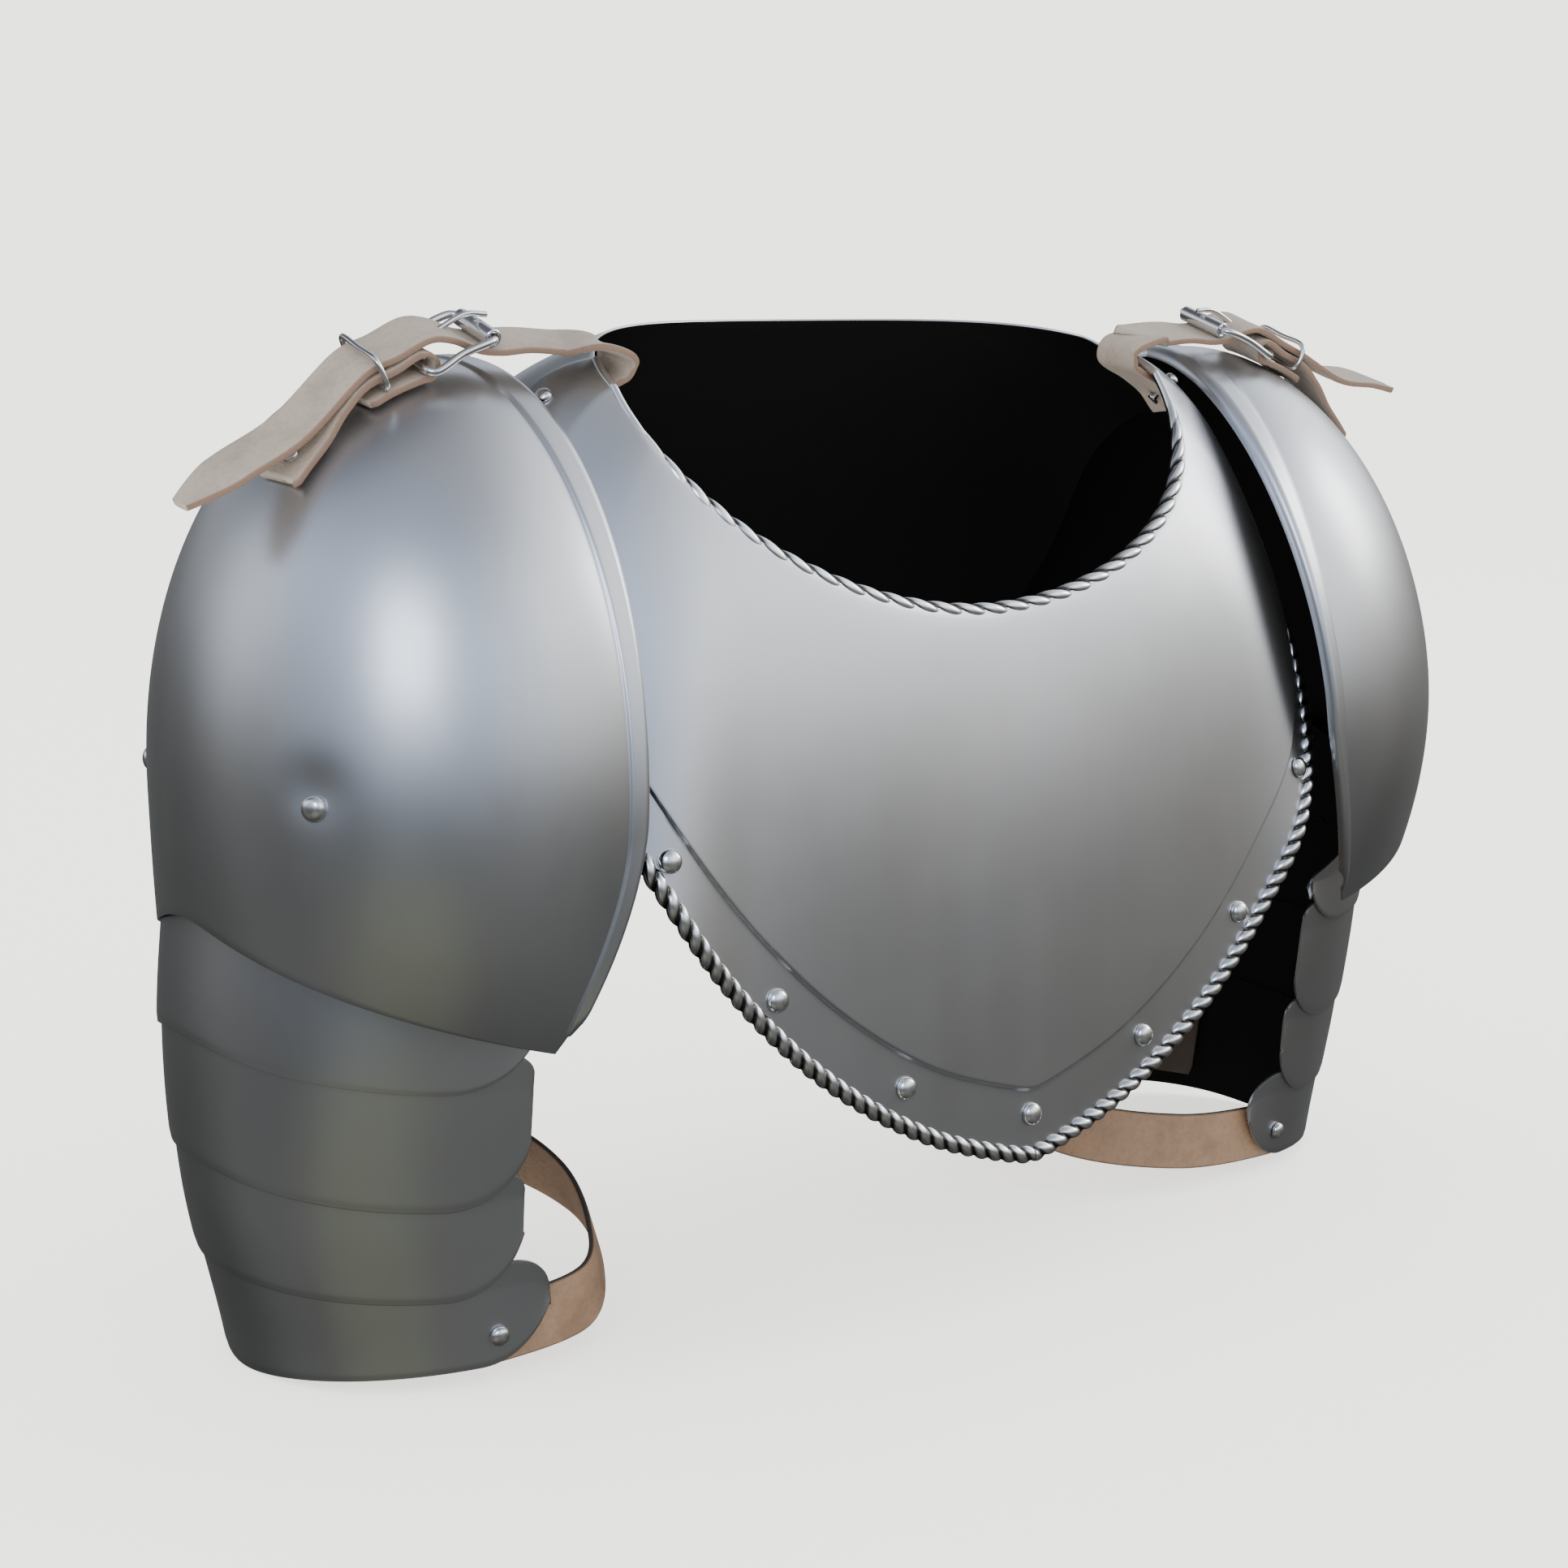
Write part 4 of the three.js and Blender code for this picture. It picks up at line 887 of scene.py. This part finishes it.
def buckle_roller(side, hand):
    """A tube with eased ends, turned about the roller bar."""
    half, bore = STRAP_WIDTH / 2 + 0.4, WIRE + 0.7
    eased = 0.35
    profile = np.array([(bore, -half), (ROLLER_RADIUS - eased, -half), (ROLLER_RADIUS, -half + eased),
                        (ROLLER_RADIUS, 0), (ROLLER_RADIUS, half - eased), (ROLLER_RADIUS - eased, half),
                        (bore, half), (bore, 0), (bore, -half)])
    centre = on_strap(ROLLER_X, ROLLER_Z)
    side_x = unit(np.cross(LEAN, (1, 0, 0)))
    up = np.cross(LEAN, side_x)
    turn = np.linspace(0, 2 * np.pi, 40, endpoint=False)
    ring = np.cos(turn)[:, None] * side_x + np.sin(turn)[:, None] * up
    p = centre + profile[:, :1, None] * ring[None] + profile[:, 1:, None] * LEAN
    obj = lay(f"{side}_buckle_roller_tube", p, [HARDWARE], hand, wrap=True, sharp=35)
    weld = obj.modifiers.new("weld", "WELD")
    weld.merge_threshold = 0.00001
    settle(obj, "hardware_steel", f"{side}_buckle_roller")


def buckle_tongue(side, hand):
    hook = WIRE + TONGUE_WIRE + 0.8
    top = ROLLER_Z + ROLLER_RADIUS + TONGUE_WIRE + 0.4
    route = [round_bar(hook, a) for a in (-60, -20, 20, 60, 90)]
    route += [on_strap(BAR_X - 9, BAR_Z + 8), on_strap(ROLLER_X + 5, top), on_strap(ROLLER_X - 4, top)]
    bent_wire(f"{side}_buckle_tongue_wire", route, TONGUE_WIRE, hand, False, f"{side}_buckle_tongue", 80)


def keeper(side, hand):
    slack = LEATHER / 2 + KEEPER_WIRE + 0.8
    half = STRAP_WIDTH / 2 + KEEPER_WIRE + 1
    low, high = -slack, LEATHER + 1 + slack + 0.4
    rim = [(low, half - 2), (low + 2, half), (high - 2, half), (high, half - 2), (high, 0)]
    loop = rim + [(h, -a) for h, a in rim[3::-1]] + [(low, 0)]
    route = [leaf_point(KEEPER_X, 1, h) + LEAN * a for h, a in loop]
    bent_wire(f"{side}_keeper_ring", route, KEEPER_WIRE, hand, True, f"{side}_keeper", 160)


def leaf_rivet(side, hand):
    seat = on_strap(LEAF_RIVET_X, dome_height(LEAF_RIVET_X))
    p = seat - DOME
    p[1] -= DOME_TOP_LEAN * p[2]
    normal = unit(p / np.array((DOME_RADIUS**2, DOME_RADIUS**2, DOME_HEIGHT**2)))
    rise = LEAF + LEATHER / 2 + 0.1
    rivet(f"{side}_strap_rivet_head", seat + normal * rise, normal, SMALL_RIVET_HEAD,
          rise + PLATE / 2 + 2, hand)


# ---- Assembly ---------------------------------------------------------------------------------

gorget_front()
gorget_back()
rope("neckline_rope", 0.0, 103, (60, 88), "gorget_front", 3.5, 11.5)
rope("border_rope", 1.0, 88, (70, 88), "gorget_front", 3.6, 7.2)

for k, (turn, from_edge) in enumerate(BORDER_RIVETS):
    t = 1 - from_edge / float(gorget_length(np.array(float(turn))))
    for way in ((1,) if turn == 0 else (-1, 1)):
        at = np.array(float(way * turn)), np.array(t)
        where, up = gorget_point(*at), gorget_normal(*at)
        label = "tip_rivet" if turn == 0 else f"{'right' if way < 0 else 'left'}_border_rivet_{k}"
        seat, grip = on_plate(where, up, PLATE / 2)
        rivet(f"{label}_head", seat, up, RIVET_HEAD, grip)

for side, hand in (("left", 1), ("right", -1)):
    shoulder_dome(side, hand)
    for k in range(len(LAMES)):
        lame(k, side, hand)
    for face, label in ((-1, "front"), (1, "rear")):
        lame_hanger(side, hand, face)
        seat = dome_rivet_seat(face)
        up = unit(np.array((seat[0] - DOME[0], seat[1] - DOME[1], 0)))
        at, grip = on_plate(seat, up, GAP + 2.6 + HANGER_DEPTH + PLATE / 2)
        rivet(f"{side}_{label}_dome_rivet_head", at - up * 0.7, up, RIVET_HEAD, grip, hand)
        angle, z = face * ARM_STRAP_RIVET[0], ARM_STRAP_RIVET[1]
        up = arm_normal(np.array(float(angle)), np.array(float(z)))
        seat = arm_point(np.array(float(angle)), np.array(float(z)), 1.9)
        at, grip = on_plate(seat, up, ARM_STRAP_INSET + ARM_LEATHER / 2 + 0.8)
        rivet(f"{side}_{label}_arm_rivet_head", at, up, RIVET_HEAD * 0.85, grip, hand)
    arm_strap(side, hand)
    collar_strap(side, hand)
    buckle_strap(side, hand)
    buckle_frame(side, hand)
    buckle_roller(side, hand)
    buckle_tongue(side, hand)
    keeper(side, hand)
    leaf_rivet(side, hand)
    up = gorget_normal(np.array(COLLAR_ANGLE), np.array(0.4))
    at, grip = on_plate(gorget_point(np.array(COLLAR_ANGLE), np.array(0.4)), up,
                        PLATE / 2 + LAP + PLATE + GAP + 1.5 + LEATHER)
    rivet(f"{side}_collar_rivet_head", at, up, SMALL_RIVET_HEAD, grip, hand)

# ---- Studio -----------------------------------------------------------------------------------

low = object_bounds()[0][2]
floor_mesh = bpy.data.meshes.new("floor")
floor_mesh.from_pydata([(x, y, low - 0.0005) for x, y in ((-30, -30), (30, -30), (30, 30), (-30, 30))],
                       [], [(0, 1, 2, 3)])
floor = bpy.data.objects.new("floor", floor_mesh)
bpy.context.scene.collection.objects.link(floor)
floor_paint = bpy.data.materials.new("floor")
floor_paint.use_nodes = True
floor_bsdf = floor_paint.node_tree.nodes["Principled BSDF"]
floor_bsdf.inputs["Base Color"].default_value = (0.88, 0.87, 0.84, 1)
floor_bsdf.inputs["Roughness"].default_value = 1.0
floor_bsdf.inputs["Specular IOR Level"].default_value = 0.0
floor_bsdf.inputs["Emission Color"].default_value = (1.0, 0.99, 0.955, 1)
floor_bsdf.inputs["Emission Strength"].default_value = 1.4
floor_mesh.materials.append(floor_paint)
floor.visible_glossy = False


def softbox(name, place, target, size, power, colour):
    """A square soft light at a place in metres, facing a point."""
    light = bpy.data.lights.new(name, "AREA")
    light.size, light.energy, light.color = size, power, colour
    obj = bpy.data.objects.new(name, light)
    bpy.context.scene.collection.objects.link(obj)
    z = unit(np.array(place, float) - np.array(target, float))
    x = unit(np.cross((0, 0, 1), z))
    turned = np.eye(4)
    turned[:3, 0], turned[:3, 1], turned[:3, 2], turned[:3, 3] = x, np.cross(z, x), z, place
    obj.matrix_world = Matrix(turned.tolist())


softbox("front_softbox", (-2.4, -2.6, 2.0), (-0.1, -0.1, -0.05), 1.4, 34, (0.9, 0.95, 1.0))
softbox("side_softbox", (3.0, -1.2, 1.6), (0.15, -0.1, -0.05), 1.2, 26, (1.0, 0.99, 0.97))


def aim(azimuth, elevation):
    """Direction from its angle round from the front towards +X, and its angle above level."""
    a, e = math.radians(azimuth), math.radians(elevation)
    return (math.cos(e) * math.sin(a), -math.cos(e) * math.cos(a), math.sin(e))


def patch(tree, direction, colour, where, full, gone, tint):
    """A soft-edged patch of the room: colour times tint inside full degrees, unchanged past gone."""
    dot = wire_node(tree, "ShaderNodeVectorMath", {"operation": "DOT_PRODUCT"}, i0=direction, i1=where)
    fac = wire_node(tree, "ShaderNodeMapRange", {"interpolation_type": "SMOOTHERSTEP"},
                    Value=dot.outputs["Value"], From_Min=math.cos(math.radians(gone)),
                    From_Max=math.cos(math.radians(full)))
    n = wire_node(tree, "ShaderNodeMix", {"data_type": "RGBA", "blend_type": "MULTIPLY"})
    tree.links.new(fac.outputs[0], n.inputs[0])
    tree.links.new(colour, n.inputs[6])
    n.inputs[7].default_value = (*tint, 1)
    return n.outputs[2]


# The room that the steel mirrors: by sine of elevation, a dark ground, a level grey and a pale sky.
ROOM = [(-1.0, (0.06, 0.06, 0.058)), (-0.85, (0.09, 0.09, 0.086)), (-0.5, (0.17, 0.17, 0.165)),
        (-0.2, (0.19, 0.19, 0.185)), (-0.02, (0.25, 0.25, 0.24)), (0.11, (0.5, 0.51, 0.52)),
        (0.24, (1.15, 1.2, 1.3)), (0.45, (1.3, 1.4, 1.56)), (0.65, (1.0, 1.08, 1.22)),
        (0.84, (0.6, 0.64, 0.72)), (1.0, (0.5, 0.52, 0.55))]
PATCHES = [(aim(70, 22), 12, 55, (2.2, 2.1, 1.95)), (aim(12, 33), 4, 24, (1.35, 1.32, 1.26)),
           (aim(-168, 55), 10, 44, (0.16, 0.16, 0.16)), (aim(180, -18), 30, 75, (0.4, 0.4, 0.4)),
           (aim(-45, -38), 8, 30, (1.5, 1.55, 1.2)), (aim(100, -20), 10, 50, (0.55, 0.55, 0.55)),
           (aim(-45, 30), 20, 60, (0.80, 0.88, 1.04)), (aim(60, -8), 8, 40, (0.6, 0.6, 0.6)),
           (aim(-85, 2), 12, 42, (0.55, 0.55, 0.55)),
           (aim(-25, 2), 8, 30, (0.75, 0.75, 0.74)),
           (aim(45, 14), 6, 30, (0.75, 0.74, 0.72))]
PALE = (2.9, 2.87, 2.76, 1)

world = bpy.data.worlds.new("studio")
bpy.context.scene.world = world
world.use_nodes = True
wt = world.node_tree
toward = wire_node(wt, "ShaderNodeTexCoord").outputs["Generated"]
height = wire_node(wt, "ShaderNodeSeparateXYZ", Vector=toward).outputs[2]
span = wire_node(wt, "ShaderNodeMapRange", Value=height, From_Min=-1.0, From_Max=1.0).outputs[0]
mirrored = ramp(wt, span, [((z + 1) / 2, colour) for z, colour in ROOM])
for where, full, gone, tint in PATCHES:
    mirrored = patch(wt, toward, mirrored, where, full, gone, tint)
path = wire_node(wt, "ShaderNodeLightPath")
soft = mixed(wt, path.outputs["Is Glossy Ray"], (1.7, 1.69, 1.66, 1), mirrored)
back = wt.nodes["Background"]
wt.links.new(mixed(wt, path.outputs["Is Camera Ray"], soft, PALE), back.inputs["Color"])
back.inputs["Strength"].default_value = 1.0

camera = bpy.data.cameras.new("view")
camera.lens = 61.49
camera.sensor_width = 36
eye = bpy.data.objects.new("view", camera)
eye.location = (-0.68057, -0.89996, 0.08692)
eye.rotation_euler = (math.radians(90 - 10.337), 0, math.radians(-36.695))
bpy.context.scene.collection.objects.link(eye)
bpy.context.scene.camera = eye
